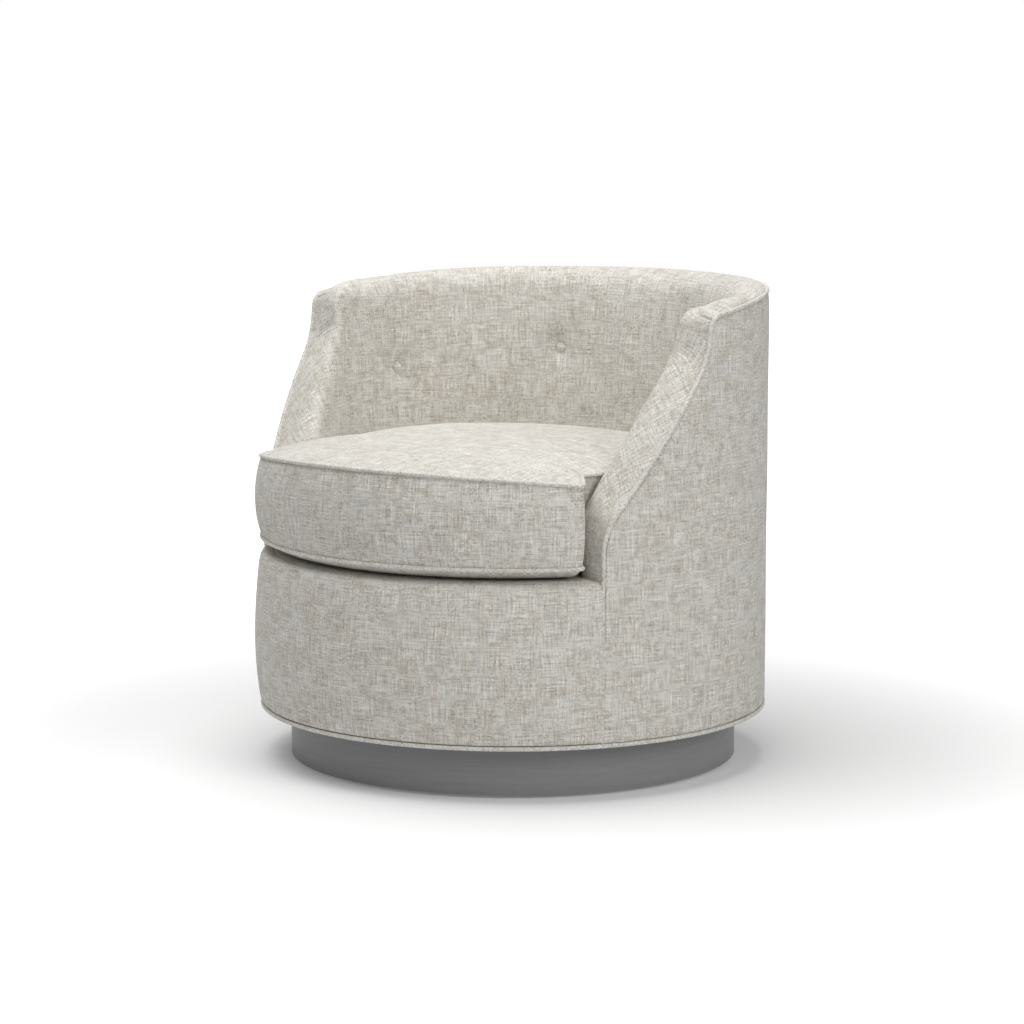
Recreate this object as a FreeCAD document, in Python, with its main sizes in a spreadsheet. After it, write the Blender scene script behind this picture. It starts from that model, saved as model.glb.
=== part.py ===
import FreeCAD, Part
import math
import os
import Sketcher

# Round upholstered swivel chair on a drum plinth.
# Millimetres. +Z is up, the chair faces -Y, and the origin is on the floor under the turning axis.
# An angle from the front is 0 at -Y and grows towards +X, so the back centre is at 180 degrees.

DIMENSIONS = (
    # plinth
    ("glide_height", 5, "glide, below the plinth"),
    ("glide_radius", 12, "glide"),
    ("glide_circle", 325, "axis to the middle of a glide"),
    ("plinth_radius", 352, "outside of the plinth ring"),
    ("plinth_wall", 18, "bent plywood of the plinth ring"),
    ("plinth_height", 71, "plinth ring, top to bottom"),
    ("block_width", 70, "plinth block along the ring"),
    ("block_depth", 36, "plinth block across the ring"),
    ("plinth_board_thickness", 18, "board that carries the swivel"),
    # swivel
    ("swivel_height", 26, "swivel from board to board"),
    ("plate_side", 300, "square swivel plate"),
    ("plate_thickness", 2.5, "pressed steel of a swivel plate"),
    ("race_radius", 108, "axis to the middle of a bearing ball"),
    ("race_width", 26, "ball race, inside to outside"),
    ("race_split", 3, "gap between the two races"),
    ("ball_radius", 5, "bearing ball"),
    ("rivet_radius", 12, "centre rivet"),
    ("rivet_head_radius", 20, "head of the centre rivet"),
    ("rivet_head_height", 4, "head of the centre rivet"),
    ("screw_radius", 2.4, "shank of a plate screw"),
    ("screw_length", 14, "plate screw in the wood"),
    ("screw_head_radius", 5, "head of a plate screw"),
    ("screw_head_height", 2.5, "head of a plate screw"),
    ("screw_offset", 132, "screw from the middle lines of the lower plate"),
    ("bolt_radius", 4, "shank of a plate bolt"),
    ("bolt_head_radius", 7.5, "head of a plate bolt"),
    ("bolt_head_height", 5, "head of a plate bolt"),
    ("bolt_offset", 112, "bolt from the middle lines of the upper plate"),
    ("nut_radius", 10, "flanged nut on a plate bolt"),
    ("nut_height", 5, "flanged nut on a plate bolt"),
    # seat frame
    ("turn_gap", 5.5, "air between the plinth and the seat's lower piping"),
    ("body_radius", 400, "outside of the covers"),
    ("cover_thickness", 4, "outside cover with its lining board"),
    ("hoop_thickness", 18, "bent plywood of the hoops"),
    ("base_board_thickness", 18, "board under the seat"),
    ("dust_cover_thickness", 1, "cloth under the seat"),
    ("dust_opening_radius", 225, "opening in the cloth round the swivel"),
    ("lower_hoop_height", 76, "hoop around the base board"),
    ("seat_rail_height", 70, "hoop that carries the springs"),
    ("stud_width", 44, "upright between two hoops"),
    ("stud_step_angle", 55, "degrees from the back middle to the outer upper studs"),
    ("top_rail_height", 60, "hoop in the rim, at the arm tops"),
    ("liner_thickness", 2, "lining board behind the padding"),
    # springs and deck
    ("deck_height", 330, "top of the deck from the floor"),
    ("deck_pad_thickness", 9, "felt pad on the springs"),
    ("burlap_thickness", 1, "cloth between springs and pad"),
    ("wire_radius", 1.9, "spring wire"),
    ("spring_half_width", 24, "spring, middle to the outside of a bend"),
    ("spring_pitch", 26, "wish for the step from bar to bar"),
    ("spring_spacing", 95, "step from spring to spring"),
    ("clip_width", 18, "spring clip along the rail"),
    ("clip_depth", 10, "spring clip across the rail"),
    # arm line, seen from the side
    ("arm_front_reach", 212, "front seam ahead of the turning axis"),
    ("arm_low_bend_rise", 74, "deck up to where the front line and the arm slope meet"),
    ("arm_high_bend_height", 644, "where the arm slope and the upper line meet"),
    ("arm_high_bend_reach", 33, "upper bend ahead of the turning axis"),
    ("arm_top_reach", 22, "arm top corner ahead of the turning axis"),
    ("arm_top_height", 711, "arm top corner from the floor"),
    ("arm_bend_radius", 115, "both bends of the arm line"),
    ("arm_corner_radius", 12, "arm top corner"),
    ("rim_back_height", 741, "rim seam at the back from the floor"),
    ("rim_bow", 7.5, "upward bow of the rim line"),
    # inside padding
    ("front_pad", 18, "padding ahead of the arm panel"),
    ("rim_pad", 24, "padding over the top rail"),
    ("roll_rise", 9, "crown of the rim above its seam"),
    ("roll_drop", 26, "rim seam down to the shoulder of the inside"),
    ("crown_reach", 30, "crown of an arm ahead of its seam, at the low bend"),
    ("crown_top_reach", 12, "crown of an arm ahead of its seam, at the arm top"),
    ("arm_wall", 78, "outside of the covers to the inside of an arm, at the deck"),
    ("back_wall", 110, "outside of the covers to the inside of the back, at the deck"),
    ("arm_lean", 18, "how far an arm leans out at its top"),
    ("back_lean", 34, "how far the back leans out up to its shoulder"),
    ("pad_belly", 4, "swell of the padding at half height"),
    ("nose_radius", 15, "rounding of the arm front on the inside"),
    # buttons
    ("button_radius", 9.5, "covered button"),
    ("button_height", 6.5, "covered button"),
    ("button_step_angle", 48.5, "degrees from button to button"),
    ("button_row_depth", 95, "arm tops down to the two back buttons"),
    ("button_row_drop", 29, "the two side buttons below the back ones"),
    ("tuft_depth", 15, "dimple at a button"),
    ("tuft_spread", 36, "reach of a dimple"),
    ("tie_radius", 1.2, "button tie"),
    ("knot_radius", 6, "washer of a button tie"),
    ("knot_thickness", 1.5, "washer of a button tie"),
    # piping and front border
    ("piping_radius", 3.5, "all piping"),
    ("piping_step", 36, "wish for the length of one arc of a piping"),
    ("piping_corner", 9, "where a piping starts to round a joint of its seam"),
    ("border_swell", 12, "swell of the front border"),
    ("border_nose", 14, "rounding of the border's upper edge"),
    ("seam_gap", 1, "cover to cover at a front seam"),
    # cushion
    ("cushion_front_radius", 401, "front of the cushion's piping"),
    ("cushion_corner_angle", 53.3, "degrees from the front to a front corner"),
    ("cushion_corner_cut", 10, "cut across the tip of a front corner"),
    ("cushion_low_seam", 351, "lower piping from the floor"),
    ("cushion_corner_height", 473, "upper piping at the front corners"),
    ("cushion_side_height", 480, "upper piping along the arms and the back"),
    ("cushion_front_height", 491, "upper piping at the middle of the front"),
    ("cushion_crown_height", 510, "top of the crown from the floor"),
    ("cushion_swell", 12, "swell of the boxing"),
    ("cushion_clearance", 2, "cushion to the inside padding"),
    ("ear_clearance", 16, "cushion ear to the arm front"),
    ("core_inset", 26, "foam core inside the cushion cover"),
    # fits
    ("fit_gap", 0.3, "gap between pieces that lie together"),
    ("ball_gap", 0.1, "ball to the lower race"),
    ("overrun", 20, "how far a cutting tool passes the wood"),
)

PLACES = (
    ("plinth_inside", "=dimensions.plinth_radius - dimensions.plinth_wall", "ring's inner face"),
    ("plinth_top", "=dimensions.glide_height + dimensions.plinth_height", "ring's upper edge"),
    ("seat_bottom", "=plinth_top + dimensions.turn_gap", "lowest of the turning part"),
    ("low_piping_height", "=seat_bottom + dimensions.piping_radius", "middle of the lower piping"),
    ("frame_bottom", "=low_piping_height", "underside of the base board"),
    ("swivel_bottom", "=frame_bottom - dimensions.swivel_height", "top of the plinth board"),
    ("plinth_board_bottom", "=swivel_bottom - dimensions.plinth_board_thickness", "board"),
    ("plinth_board_radius", "=plinth_inside - dimensions.fit_gap", "board inside the ring"),
    ("lower_plate_top", "=swivel_bottom + dimensions.plate_thickness", "lower plate"),
    ("upper_plate_bottom", "=frame_bottom - dimensions.plate_thickness", "upper plate"),
    ("ball_height", "=(lower_plate_top + upper_plate_bottom) / 2", "middle of the balls"),
    ("lower_race_top", "=ball_height - dimensions.race_split / 2", "lower race"),
    ("upper_race_bottom", "=ball_height + dimensions.race_split / 2", "upper race"),
    ("race_inside", "=dimensions.race_radius - dimensions.race_width / 2", "both races"),
    ("race_outside", "=dimensions.race_radius + dimensions.race_width / 2", "both races"),
    ("rivet_hole_radius", "=dimensions.rivet_radius + dimensions.fit_gap", "hole in a plate"),
    ("rivet_room_radius", "=dimensions.rivet_head_radius + dimensions.rivet_head_height", "board hole"),
    ("piping_circle", "=body_edge - dimensions.piping_radius", "middle of rim and lower piping"),
    ("body_edge", "=dimensions.body_radius + dimensions.fit_gap", "outermost of the piping"),
    ("frame_radius", "=dimensions.body_radius - dimensions.cover_thickness - dimensions.fit_gap", "hoops"),
    ("hoop_inside", "=frame_radius - dimensions.hoop_thickness", "inner face of the hoops"),
    ("board_radius", "=hoop_inside - dimensions.fit_gap", "what lies inside the hoops"),
    ("base_board_top", "=frame_bottom + dimensions.base_board_thickness", "base board"),
    ("cover_inside", "=dimensions.body_radius - dimensions.cover_thickness", "outside cover"),
    ("arm_inside_radius", "=dimensions.body_radius - dimensions.arm_wall", "inside of an arm"),
    ("back_inside_radius", "=dimensions.body_radius - dimensions.back_wall", "inside of the back"),
    ("button_row_height", "=dimensions.arm_top_height - dimensions.button_row_depth", "buttons"),
    ("arm_low_bend_height", "=dimensions.deck_height + dimensions.arm_low_bend_rise", "low bend"),
    ("rim_highest", "=max(dimensions.arm_top_height; dimensions.rim_back_height)", "rim seam"),
    ("cover_bottom", "=low_piping_height + dimensions.piping_radius + dimensions.fit_gap", "covers"),
    ("lower_hoop_top", "=cover_bottom + dimensions.lower_hoop_height", "lower hoop"),
    ("burlap_top", "=dimensions.deck_height - dimensions.deck_pad_thickness", "under the pad"),
    ("burlap_bottom", "=burlap_top - dimensions.burlap_thickness", "over the springs"),
    ("spring_top", "=burlap_bottom - dimensions.fit_gap", "spring wire"),
    ("spring_height", "=spring_top - dimensions.wire_radius", "middle of the wire"),
    ("seat_rail_top", "=spring_height - dimensions.wire_radius - dimensions.fit_gap", "seat rail"),
    ("seat_rail_bottom", "=seat_rail_top - dimensions.seat_rail_height", "seat rail"),
    ("liner_inside", "=board_radius - dimensions.liner_thickness", "face the padding lies on"),
    ("pad_bottom", "=dimensions.deck_height + dimensions.fit_gap", "inside padding on the deck"),
    ("pad_outside", "=liner_inside - dimensions.fit_gap", "back face of the padding"),
    ("roll_outside", "=piping_circle - dimensions.piping_radius - dimensions.fit_gap", "rolled edge"),
    ("dust_cover_top", "=frame_bottom - dimensions.fit_gap", "cloth under the base board"),
    ("dust_cover_bottom", "=dust_cover_top - dimensions.dust_cover_thickness", "cloth"),
    ("dust_cover_outside", "=roll_outside", "cloth inside the lower piping"),
    ("dust_cover_inside", "=dimensions.dust_opening_radius", "opening round the swivel"),
    ("cushion_bottom", "=dimensions.deck_height + dimensions.fit_gap", "cushion on the deck"),
)

GLIDE_COUNT = 5
BALL_COUNT = 28
SPRING_COUNT = 5
LOWER_STUD_COUNT = 8

doc = FreeCAD.newDocument("swivel_chair")


def fill_sheet(name, rows):
    """Writes one row per size: its name, its value and what it measures."""
    sheet = doc.addObject("Spreadsheet::Sheet", name)
    for row, (alias, content, meaning) in enumerate(rows, start=1):
        sheet.set(f"A{row}", alias)
        sheet.set(f"B{row}", str(content))
        sheet.setAlias(f"B{row}", alias)
        sheet.set(f"C{row}", meaning)
    doc.recompute()
    return sheet


dimensions = fill_sheet("dimensions", DIMENSIONS)
places = fill_sheet("places", PLACES)
DRIVING_NAMES = {row[0] for row in DIMENSIONS}


def size(alias):
    """The number that a cell of either sheet holds."""
    sheet = dimensions if alias in DRIVING_NAMES else places
    return float(sheet.get(alias))


def cell(alias):
    """The expression that binds a property to a cell."""
    return f"dimensions.{alias}" if alias in DRIVING_NAMES else f"places.{alias}"


fit_gap = size("fit_gap")
UP = FreeCAD.Vector(0, 0, 1)
ACROSS = FreeCAD.Vector(1, 0, 0)


# Bodies made of a sketch and a turn or a pad

def new_body(label):
    body = doc.addObject("PartDesign::Body", label)
    body.Label = label
    return body


def new_sketch(body, plane_role):
    planes = [item for item in body.Origin.OriginFeatures if item.Role == plane_role]
    sketch = body.newObject("Sketcher::SketchObject", body.Label + "_outline")
    sketch.AttachmentSupport = [(planes[0], "")]
    sketch.MapMode = "FlatFace"
    return sketch


def draw_outline(sketch, corners):
    """Closes straight sides through corners, each a pair of cell names."""
    points = [FreeCAD.Vector(size(across), size(up), 0) for across, up in corners]
    count = len(points)
    for side in range(count):
        sketch.addGeometry(Part.LineSegment(points[side], points[(side + 1) % count]), False)
    for side in range(count):
        sketch.addConstraint(Sketcher.Constraint("Coincident", side, 2, (side + 1) % count, 1))
    for side, (across, up) in enumerate(corners):
        for direction, alias in (("DistanceX", across), ("DistanceY", up)):
            constraint = Sketcher.Constraint(direction, -1, 1, side, 1, size(alias))
            index = sketch.addConstraint(constraint)
            sketch.setExpression(f"Constraints[{index}]", cell(alias))


def turned_body(label, corners):
    """Turns an outline of radius and height cells once round the Z axis."""
    body = new_body(label)
    sketch = new_sketch(body, "XZ_Plane")
    draw_outline(sketch, corners)
    turn = body.newObject("PartDesign::Revolution", label + "_turn")
    turn.Profile = sketch
    turn.ReferenceAxis = (sketch, ["V_Axis"])
    turn.Angle = 360
    sketch.Visibility = False
    return body


def hoop_body(label, inside, outside, bottom, top):
    return turned_body(label, ((inside, bottom), (outside, bottom), (outside, top), (inside, top)))


def disc_body(label, radius, bottom, thickness):
    """Pads a circle from a height cell by a thickness cell."""
    body = new_body(label)
    sketch = new_sketch(body, "XY_Plane")
    circle = sketch.addGeometry(Part.Circle(FreeCAD.Vector(0, 0, 0), UP, size(radius)), False)
    sketch.addConstraint(Sketcher.Constraint("Coincident", circle, 3, -1, 1))
    index = sketch.addConstraint(Sketcher.Constraint("Radius", circle, size(radius)))
    sketch.setExpression(f"Constraints[{index}]", cell(radius))
    pad = body.newObject("PartDesign::Pad", label + "_pad")
    pad.Profile = sketch
    pad.setExpression("Length", cell(thickness))
    body.setExpression("Placement.Base.z", cell(bottom))
    sketch.Visibility = False
    return body


# Primitives and booleans

def bound(kind, name, **sizes):
    """A primitive whose properties are bound to cells."""
    item = doc.addObject(kind, name)
    for prop, expression in sizes.items():
        item.setExpression(prop.replace("_at_", "Placement.Base."), expression)
    return item


def cylinder(name, radius, height, bottom):
    return bound("Part::Cylinder", name, Radius=radius, Height=height, _at_z=bottom)


def cut(label, base, tool):
    item = doc.addObject("Part::Cut", label)
    item.Base = base
    item.Tool = tool
    item.Label = label
    return item


def fuse(name, pieces):
    item = doc.addObject("Part::MultiFuse", name)
    item.Shapes = pieces
    return item


def shape_object(label, shape):
    """A piece whose shape no sketch or primitive gives."""
    item = doc.addObject("Part::Feature", label)
    item.Label = label
    item.Shape = shape
    item.Placement = FreeCAD.Placement()
    return item


# Shapes worked out from the sheets

def at_angle(angle, radius, height):
    """Point at an angle from the front, in degrees."""
    turn = math.radians(angle)
    return FreeCAD.Vector(radius * math.sin(turn), -radius * math.cos(turn), height)


def curved_block(inside, outside, bottom, top, start, sweep):
    """Piece of a ring between two angles from the front."""
    corners = [at_angle(start, radius, height) for radius, height in (
        (inside, bottom), (outside, bottom), (outside, top), (inside, top))]
    face = Part.Face(Part.makePolygon(corners + corners[:1]))
    return face.revolve(FreeCAD.Vector(0, 0, 0), UP, sweep)


def upright_rod(x, y, radius, bottom, top):
    return Part.makeCylinder(radius, top - bottom, FreeCAD.Vector(x, y, bottom))


def square_places(offset):
    return [(x, y) for x in (-offset, offset) for y in (-offset, offset)]


def pipe(edges, radius):
    """Round rod along a path of lines and arcs."""
    path = Part.Wire(edges)
    start = path.Edges[0].valueAt(path.Edges[0].FirstParameter)
    heading = path.Edges[0].tangentAt(path.Edges[0].FirstParameter)
    section = Part.Wire(Part.makeCircle(radius, start, heading))
    return path.makePipeShell([section], True, False)


# The arm line, in the plane of depth Y and height Z.
# It climbs the front seam, bends into the arm slope, bends up to the arm top and follows the rim.

def rounded_path(points, radii):
    """Straight runs and tangent arcs; each run is (start, end), each arc (start, middle, end)."""
    pieces = []
    here = points[0]
    for index, radius in enumerate(radii, start=1):
        corner = points[index]
        before = (points[index - 1] - corner).normalize()
        after = (points[index + 1] - corner).normalize()
        half_turn = before.getAngle(after) / 2
        tangent = radius / math.tan(half_turn)
        start = corner + before * tangent
        end = corner + after * tangent
        bisector = (before + after).normalize()
        centre = corner + bisector * (radius / math.sin(half_turn))
        pieces.append((here, start))
        pieces.append((start, centre - bisector * radius, end))
        here = end
    pieces.append((here, points[-1]))
    return pieces


def side_point(depth, height):
    return FreeCAD.Vector(0, depth, height)


def arm_line():
    front = -size("arm_front_reach")
    corner = side_point(-size("arm_top_reach"), size("arm_top_height"))
    back = side_point(size("body_radius"), size("rim_back_height"))
    chord = back - corner
    sag_side = side_point(-chord.z, chord.y).normalize()
    middle = (corner + back) / 2 + sag_side * size("rim_bow")
    rim_start = corner + (middle - corner) * (size("arm_corner_radius") / (middle - corner).Length)
    points = [
        side_point(front, size("cover_bottom")),
        side_point(front, size("arm_low_bend_height")),
        side_point(-size("arm_high_bend_reach"), size("arm_high_bend_height")),
        corner,
        rim_start * 2 - corner,
    ]
    bends = [size("arm_bend_radius"), size("arm_bend_radius"), size("arm_corner_radius")]
    pieces = rounded_path(points, bends)
    start = pieces[-1][0]
    pieces[-1] = (start, middle, back)
    return pieces


ARM_LINE = arm_line()


def side_edges(back_shift, drop):
    """The arm line as edges, moved back and down as one."""
    move = side_point(back_shift, -drop)
    edges = []
    for piece in ARM_LINE:
        moved = [point + move for point in piece]
        edges.append(Part.Arc(*moved).toShape() if len(moved) == 3 else Part.makeLine(*moved))
    return edges


def above_arm_line(back_shift, drop):
    """Everything ahead of and above the moved arm line, as one prism across the chair."""
    edges = side_edges(back_shift, drop)
    reach = size("body_radius") + size("overrun")
    low = edges[0].Vertexes[0].Point
    high = edges[-1].Vertexes[-1].Point
    ceiling = size("rim_highest") + size("roll_rise") + size("overrun")
    corners = [
        high,
        side_point(reach + back_shift, high.z),
        side_point(reach + back_shift, ceiling),
        side_point(-reach, ceiling),
        side_point(-reach, low.z),
        low,
    ]
    border = edges + [Part.makeLine(a, b) for a, b in zip(corners, corners[1:])]
    face = Part.Face(Part.Wire(Part.__sortEdges__(border)))
    prism = face.extrude(ACROSS * (2 * reach))
    prism.translate(ACROSS * -reach)
    return prism


def line_height(depth, back_shift=0.0, drop=0.0):
    """Height of the moved arm line at a depth behind its front seam."""
    wanted = depth - back_shift
    heights = []
    for edge in side_edges(0.0, 0.0):
        ends = sorted((edge.Vertexes[0].Y, edge.Vertexes[-1].Y))
        if ends[0] <= wanted <= ends[1] and ends[1] - ends[0] > fit_gap:
            probe = Part.makeLine(side_point(wanted, 0), side_point(wanted, 2 * size("body_radius")))
            touch = edge.distToShape(probe)[1][0][0]
            heights.append(touch.z)
    if not heights:
        heights.append(ARM_LINE[-1][-1].z if wanted > 0 else ARM_LINE[1][0].z)
    return max(heights) - drop


def angle_of_depth(depth, radius):
    return math.degrees(math.acos(-depth / radius))


FRONT_ANGLE = angle_of_depth(-size("arm_front_reach"), size("body_radius"))


# Base: glides, plinth and lower half of the swivel

def make_glides():
    step = 360 / GLIDE_COUNT
    foot = size("glide_radius") - size("glide_height") / 2
    pads = []
    for index in range(GLIDE_COUNT):
        middle = at_angle(index * step, size("glide_circle"), 0)
        pads.append(Part.makeCone(foot, size("glide_radius"), size("glide_height"), middle))
    return shape_object("floor_glides", Part.makeCompound(pads))


def make_plinth_blocks():
    """Blocks in the corner of ring and board, one over each glide."""
    round_limit = size("plinth_board_radius")
    bottom = size("glide_height")
    top = size("plinth_board_bottom")
    drum = upright_rod(0, 0, round_limit, bottom, top)
    blocks = []
    for index in range(GLIDE_COUNT):
        corner = FreeCAD.Vector(-size("block_width") / 2, -round_limit, bottom)
        block = Part.makeBox(size("block_width"), size("block_depth"), top - bottom, corner)
        block.rotate(FreeCAD.Vector(0, 0, 0), UP, index * 360 / GLIDE_COUNT)
        blocks.append(block.common(drum))
    return shape_object("plinth_blocks", Part.makeCompound(blocks))


def make_plinth_board():
    board = disc_body("plinth_board_blank", "plinth_board_radius", "plinth_board_bottom",
                      "plinth_board_thickness")
    holes = [upright_rod(x, y, size("screw_radius") + size("ball_gap"),
                         size("swivel_bottom") - size("screw_length") - fit_gap,
                         size("swivel_bottom") + size("overrun"))
             for x, y in square_places(size("screw_offset"))]
    holes.append(upright_rod(0, 0, size("rivet_room_radius"), 0, size("frame_bottom")))
    drill = shape_object("plinth_board_drill", Part.makeCompound(holes))
    return cut("plinth_board", board, drill)


def make_swivel_half(label, is_lower):
    """A square plate with its race: the lower one faces up, the upper one faces down."""
    plate_bottom = "swivel_bottom" if is_lower else "upper_plate_bottom"
    half_side = "-dimensions.plate_side / 2"
    plate = bound("Part::Box", label + "_plate", Length=cell("plate_side"), Width=cell("plate_side"),
                  Height=cell("plate_thickness"), _at_x=half_side, _at_y=half_side,
                  _at_z=cell(plate_bottom))
    race_bottom = "lower_plate_top" if is_lower else "upper_race_bottom"
    race_height = "places.lower_race_top - places.lower_plate_top"
    ring = cylinder(label + "_race", cell("race_outside"), race_height, cell(race_bottom))
    blank = fuse(label + "_blank", [plate, ring])
    room = cylinder(label + "_race_bore", cell("race_inside"), race_height, cell(race_bottom))
    clearance = "ball_gap" if is_lower else "fit_gap"
    groove = bound("Part::Torus", label + "_groove", Radius1=cell("race_radius"),
                   Radius2=f"dimensions.ball_radius + dimensions.{clearance}",
                   _at_z=cell("ball_height"))
    bore = cylinder(label + "_bore", cell("rivet_hole_radius"), cell("frame_bottom"), "0")
    offset, radius = ("screw_offset", "screw_radius") if is_lower else ("bolt_offset", "bolt_radius")
    holes = [upright_rod(x, y, size(radius) + size("ball_gap"), 0, size("frame_bottom") + size("overrun"))
             for x, y in square_places(size(offset))]
    drill = shape_object(label + "_drill", Part.makeCompound(holes))
    return cut(label, blank, fuse(label + "_tools", [room, groove, bore, drill]))


def make_balls():
    step = 360 / BALL_COUNT
    balls = [Part.makeSphere(size("ball_radius"), at_angle(i * step, size("race_radius"), size("ball_height")))
             for i in range(BALL_COUNT)]
    return shape_object("bearing_balls", Part.makeCompound(balls))


def make_rivet():
    """Hollow centre rivet: it keeps the two plates together and lets them turn."""
    shank_bottom = size("swivel_bottom") - size("rivet_head_height")
    shank_top = size("frame_bottom") + fit_gap + size("rivet_head_height")
    shank = upright_rod(0, 0, size("rivet_radius"), shank_bottom, shank_top)
    low_head = upright_rod(0, 0, size("rivet_head_radius"), shank_bottom, size("swivel_bottom"))
    high_head = upright_rod(0, 0, size("rivet_head_radius"), size("frame_bottom") + fit_gap, shank_top)
    bore = upright_rod(0, 0, size("rivet_radius") / 2, 0, shank_top + size("overrun"))
    return shape_object("centre_rivet", shank.fuse([low_head, high_head]).cut(bore).removeSplitter())


def make_screws():
    top = size("lower_plate_top")
    screws = []
    for x, y in square_places(size("screw_offset")):
        shank = upright_rod(x, y, size("screw_radius"), size("swivel_bottom") - size("screw_length"), top)
        head = Part.makeCone(size("screw_head_radius"), size("screw_radius"), size("screw_head_height"),
                             FreeCAD.Vector(x, y, top))
        screws.append(shank.fuse(head))
    return shape_object("plate_screws", Part.makeCompound(screws))


hoop_body("plinth_ring", "plinth_inside", "plinth_radius", "glide_height", "plinth_top")
make_glides()
make_plinth_blocks()
make_plinth_board()
make_swivel_half("lower_swivel_plate", True)
make_balls()
make_rivet()
make_screws()


# Seat frame: upper half of the swivel, boards, hoops, studs and arm panels

def make_bolts():
    """Bolts through the upper plate and the base board, each with a flanged nut on top."""
    low = size("upper_plate_bottom")
    high = size("base_board_top")
    bolts = []
    for x, y in square_places(size("bolt_offset")):
        shank = upright_rod(x, y, size("bolt_radius"), low - size("bolt_head_height"),
                            high + size("nut_height"))
        head = upright_rod(x, y, size("bolt_head_radius"), low - size("bolt_head_height"), low)
        nut = upright_rod(x, y, size("nut_radius"), high, high + size("nut_height"))
        bolts.append(shank.fuse([head, nut]).removeSplitter())
    return shape_object("plate_bolts", Part.makeCompound(bolts))


def make_base_board():
    board = disc_body("base_board_blank", "board_radius", "frame_bottom", "base_board_thickness")
    holes = [upright_rod(x, y, size("bolt_radius") + size("ball_gap"), 0,
                         size("base_board_top") + size("overrun"))
             for x, y in square_places(size("bolt_offset"))]
    holes.append(upright_rod(0, 0, size("rivet_room_radius"), 0, size("base_board_top") + size("overrun")))
    drill = shape_object("base_board_drill", Part.makeCompound(holes))
    return cut("base_board", board, drill)


def stud_angle(radius):
    return math.degrees(size("stud_width") / radius)


def make_studs(label, bottom, top, middles):
    width = stud_angle(size("frame_radius"))
    studs = [curved_block(size("hoop_inside"), size("frame_radius"), bottom, top, middle - width / 2, width)
             for middle in middles]
    return shape_object(label, Part.makeCompound(studs))


def frame_trim():
    return above_arm_line(size("front_pad"), size("rim_pad"))


RAIL_START_SHARE = 1.1
RAIL_START_ANGLE = 90 + stud_angle(size("frame_radius")) * RAIL_START_SHARE
TOP_RAIL_BOTTOM = size("arm_top_height") - size("rim_pad") - size("top_rail_height")


def make_arm_panels():
    """Bent plywood panels that stand on the seat rail and give the arms their slope."""
    sweep = RAIL_START_ANGLE - FRONT_ANGLE
    blank = curved_block(size("hoop_inside"), size("frame_radius"), size("seat_rail_top"),
                         size("rim_highest"), -RAIL_START_ANGLE, sweep)
    left = blank.cut(frame_trim())
    shape_object("arm_panel_left", left)
    shape_object("arm_panel_right", left.mirror(FreeCAD.Vector(0, 0, 0), ACROSS))


def make_top_rail():
    """C-shaped hoop in the rim, between the arm panels."""
    gap = math.degrees(fit_gap / size("frame_radius"))
    start = RAIL_START_ANGLE + gap
    blank = curved_block(size("hoop_inside"), size("frame_radius"), TOP_RAIL_BOTTOM,
                         size("rim_highest"), start, 360 - 2 * start)
    return shape_object("top_rail", blank.cut(frame_trim()))


def make_liner():
    """Thin lining board inside the hoops, behind all the padding."""
    blank = curved_block(size("liner_inside"), size("board_radius"), size("pad_bottom"),
                         size("rim_highest"), FRONT_ANGLE, 360 - 2 * FRONT_ANGLE)
    trim = above_arm_line(size("front_pad"), size("rim_pad") + fit_gap)
    holes = [button_rod(angle, height, size("tie_radius") + size("ball_gap"), size("cover_inside"))
             for angle, height in button_places()]
    return shape_object("back_liner", blank.cut(trim).cut(Part.makeCompound(holes)))


# Buttons sit in a row of four, two behind and one on each side.

BUTTON_SHARES = (-1.5, -0.5, 0.5, 1.5)
BUTTON_RIM_SHARE = 0.33
UPPER_STUD_SHARES = (-1, -0.128, 0.128, 1)


def button_places():
    rows = []
    for share in BUTTON_SHARES:
        angle = 180 + share * size("button_step_angle")
        is_side = abs(share) > 1
        height = size("button_row_height") - (size("button_row_drop") if is_side else 0)
        rows.append((angle, height))
    return rows


def button_rod(angle, height, radius, reach, start_radius=0.0):
    """Level rod that points out from the turning axis."""
    start = at_angle(angle, start_radius, height)
    heading = at_angle(angle, 1, 0)
    return Part.makeCylinder(radius, reach - start_radius, start, heading)


hoop_body("lower_hoop", "hoop_inside", "frame_radius", "cover_bottom", "lower_hoop_top")
hoop_body("seat_rail", "hoop_inside", "frame_radius", "seat_rail_bottom", "seat_rail_top")
hoop_body("dust_cover", "dust_cover_inside", "dust_cover_outside", "dust_cover_bottom", "dust_cover_top")
make_swivel_half("upper_swivel_plate", False)
make_bolts()
make_base_board()
make_studs("lower_studs", size("lower_hoop_top"), size("seat_rail_bottom"),
           [(2 * index + 1) * 180 / LOWER_STUD_COUNT for index in range(LOWER_STUD_COUNT)])
make_studs("upper_studs", size("seat_rail_top"), TOP_RAIL_BOTTOM,
           [180 + share * size("stud_step_angle") for share in UPPER_STUD_SHARES])
make_arm_panels()
make_top_rail()
make_liner()


# Springs, clips, burlap and deck pad

def spring_places():
    """Each spring's X with the depths of its first and last bar on the seat rail."""
    rail_middle = (size("hoop_inside") + size("frame_radius")) / 2
    rail_edge = size("frame_radius") - size("wire_radius") - fit_gap
    rows = []
    for index in range(SPRING_COUNT):
        x = (index - (SPRING_COUNT - 1) / 2) * size("spring_spacing")
        bar_end = abs(x) + size("spring_half_width")
        middle_reach = math.sqrt(rail_middle ** 2 - x ** 2)
        end_reach = math.sqrt(rail_edge ** 2 - bar_end ** 2)
        reach = min(middle_reach, end_reach)
        rows.append((x, -reach, reach))
    return rows


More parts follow.
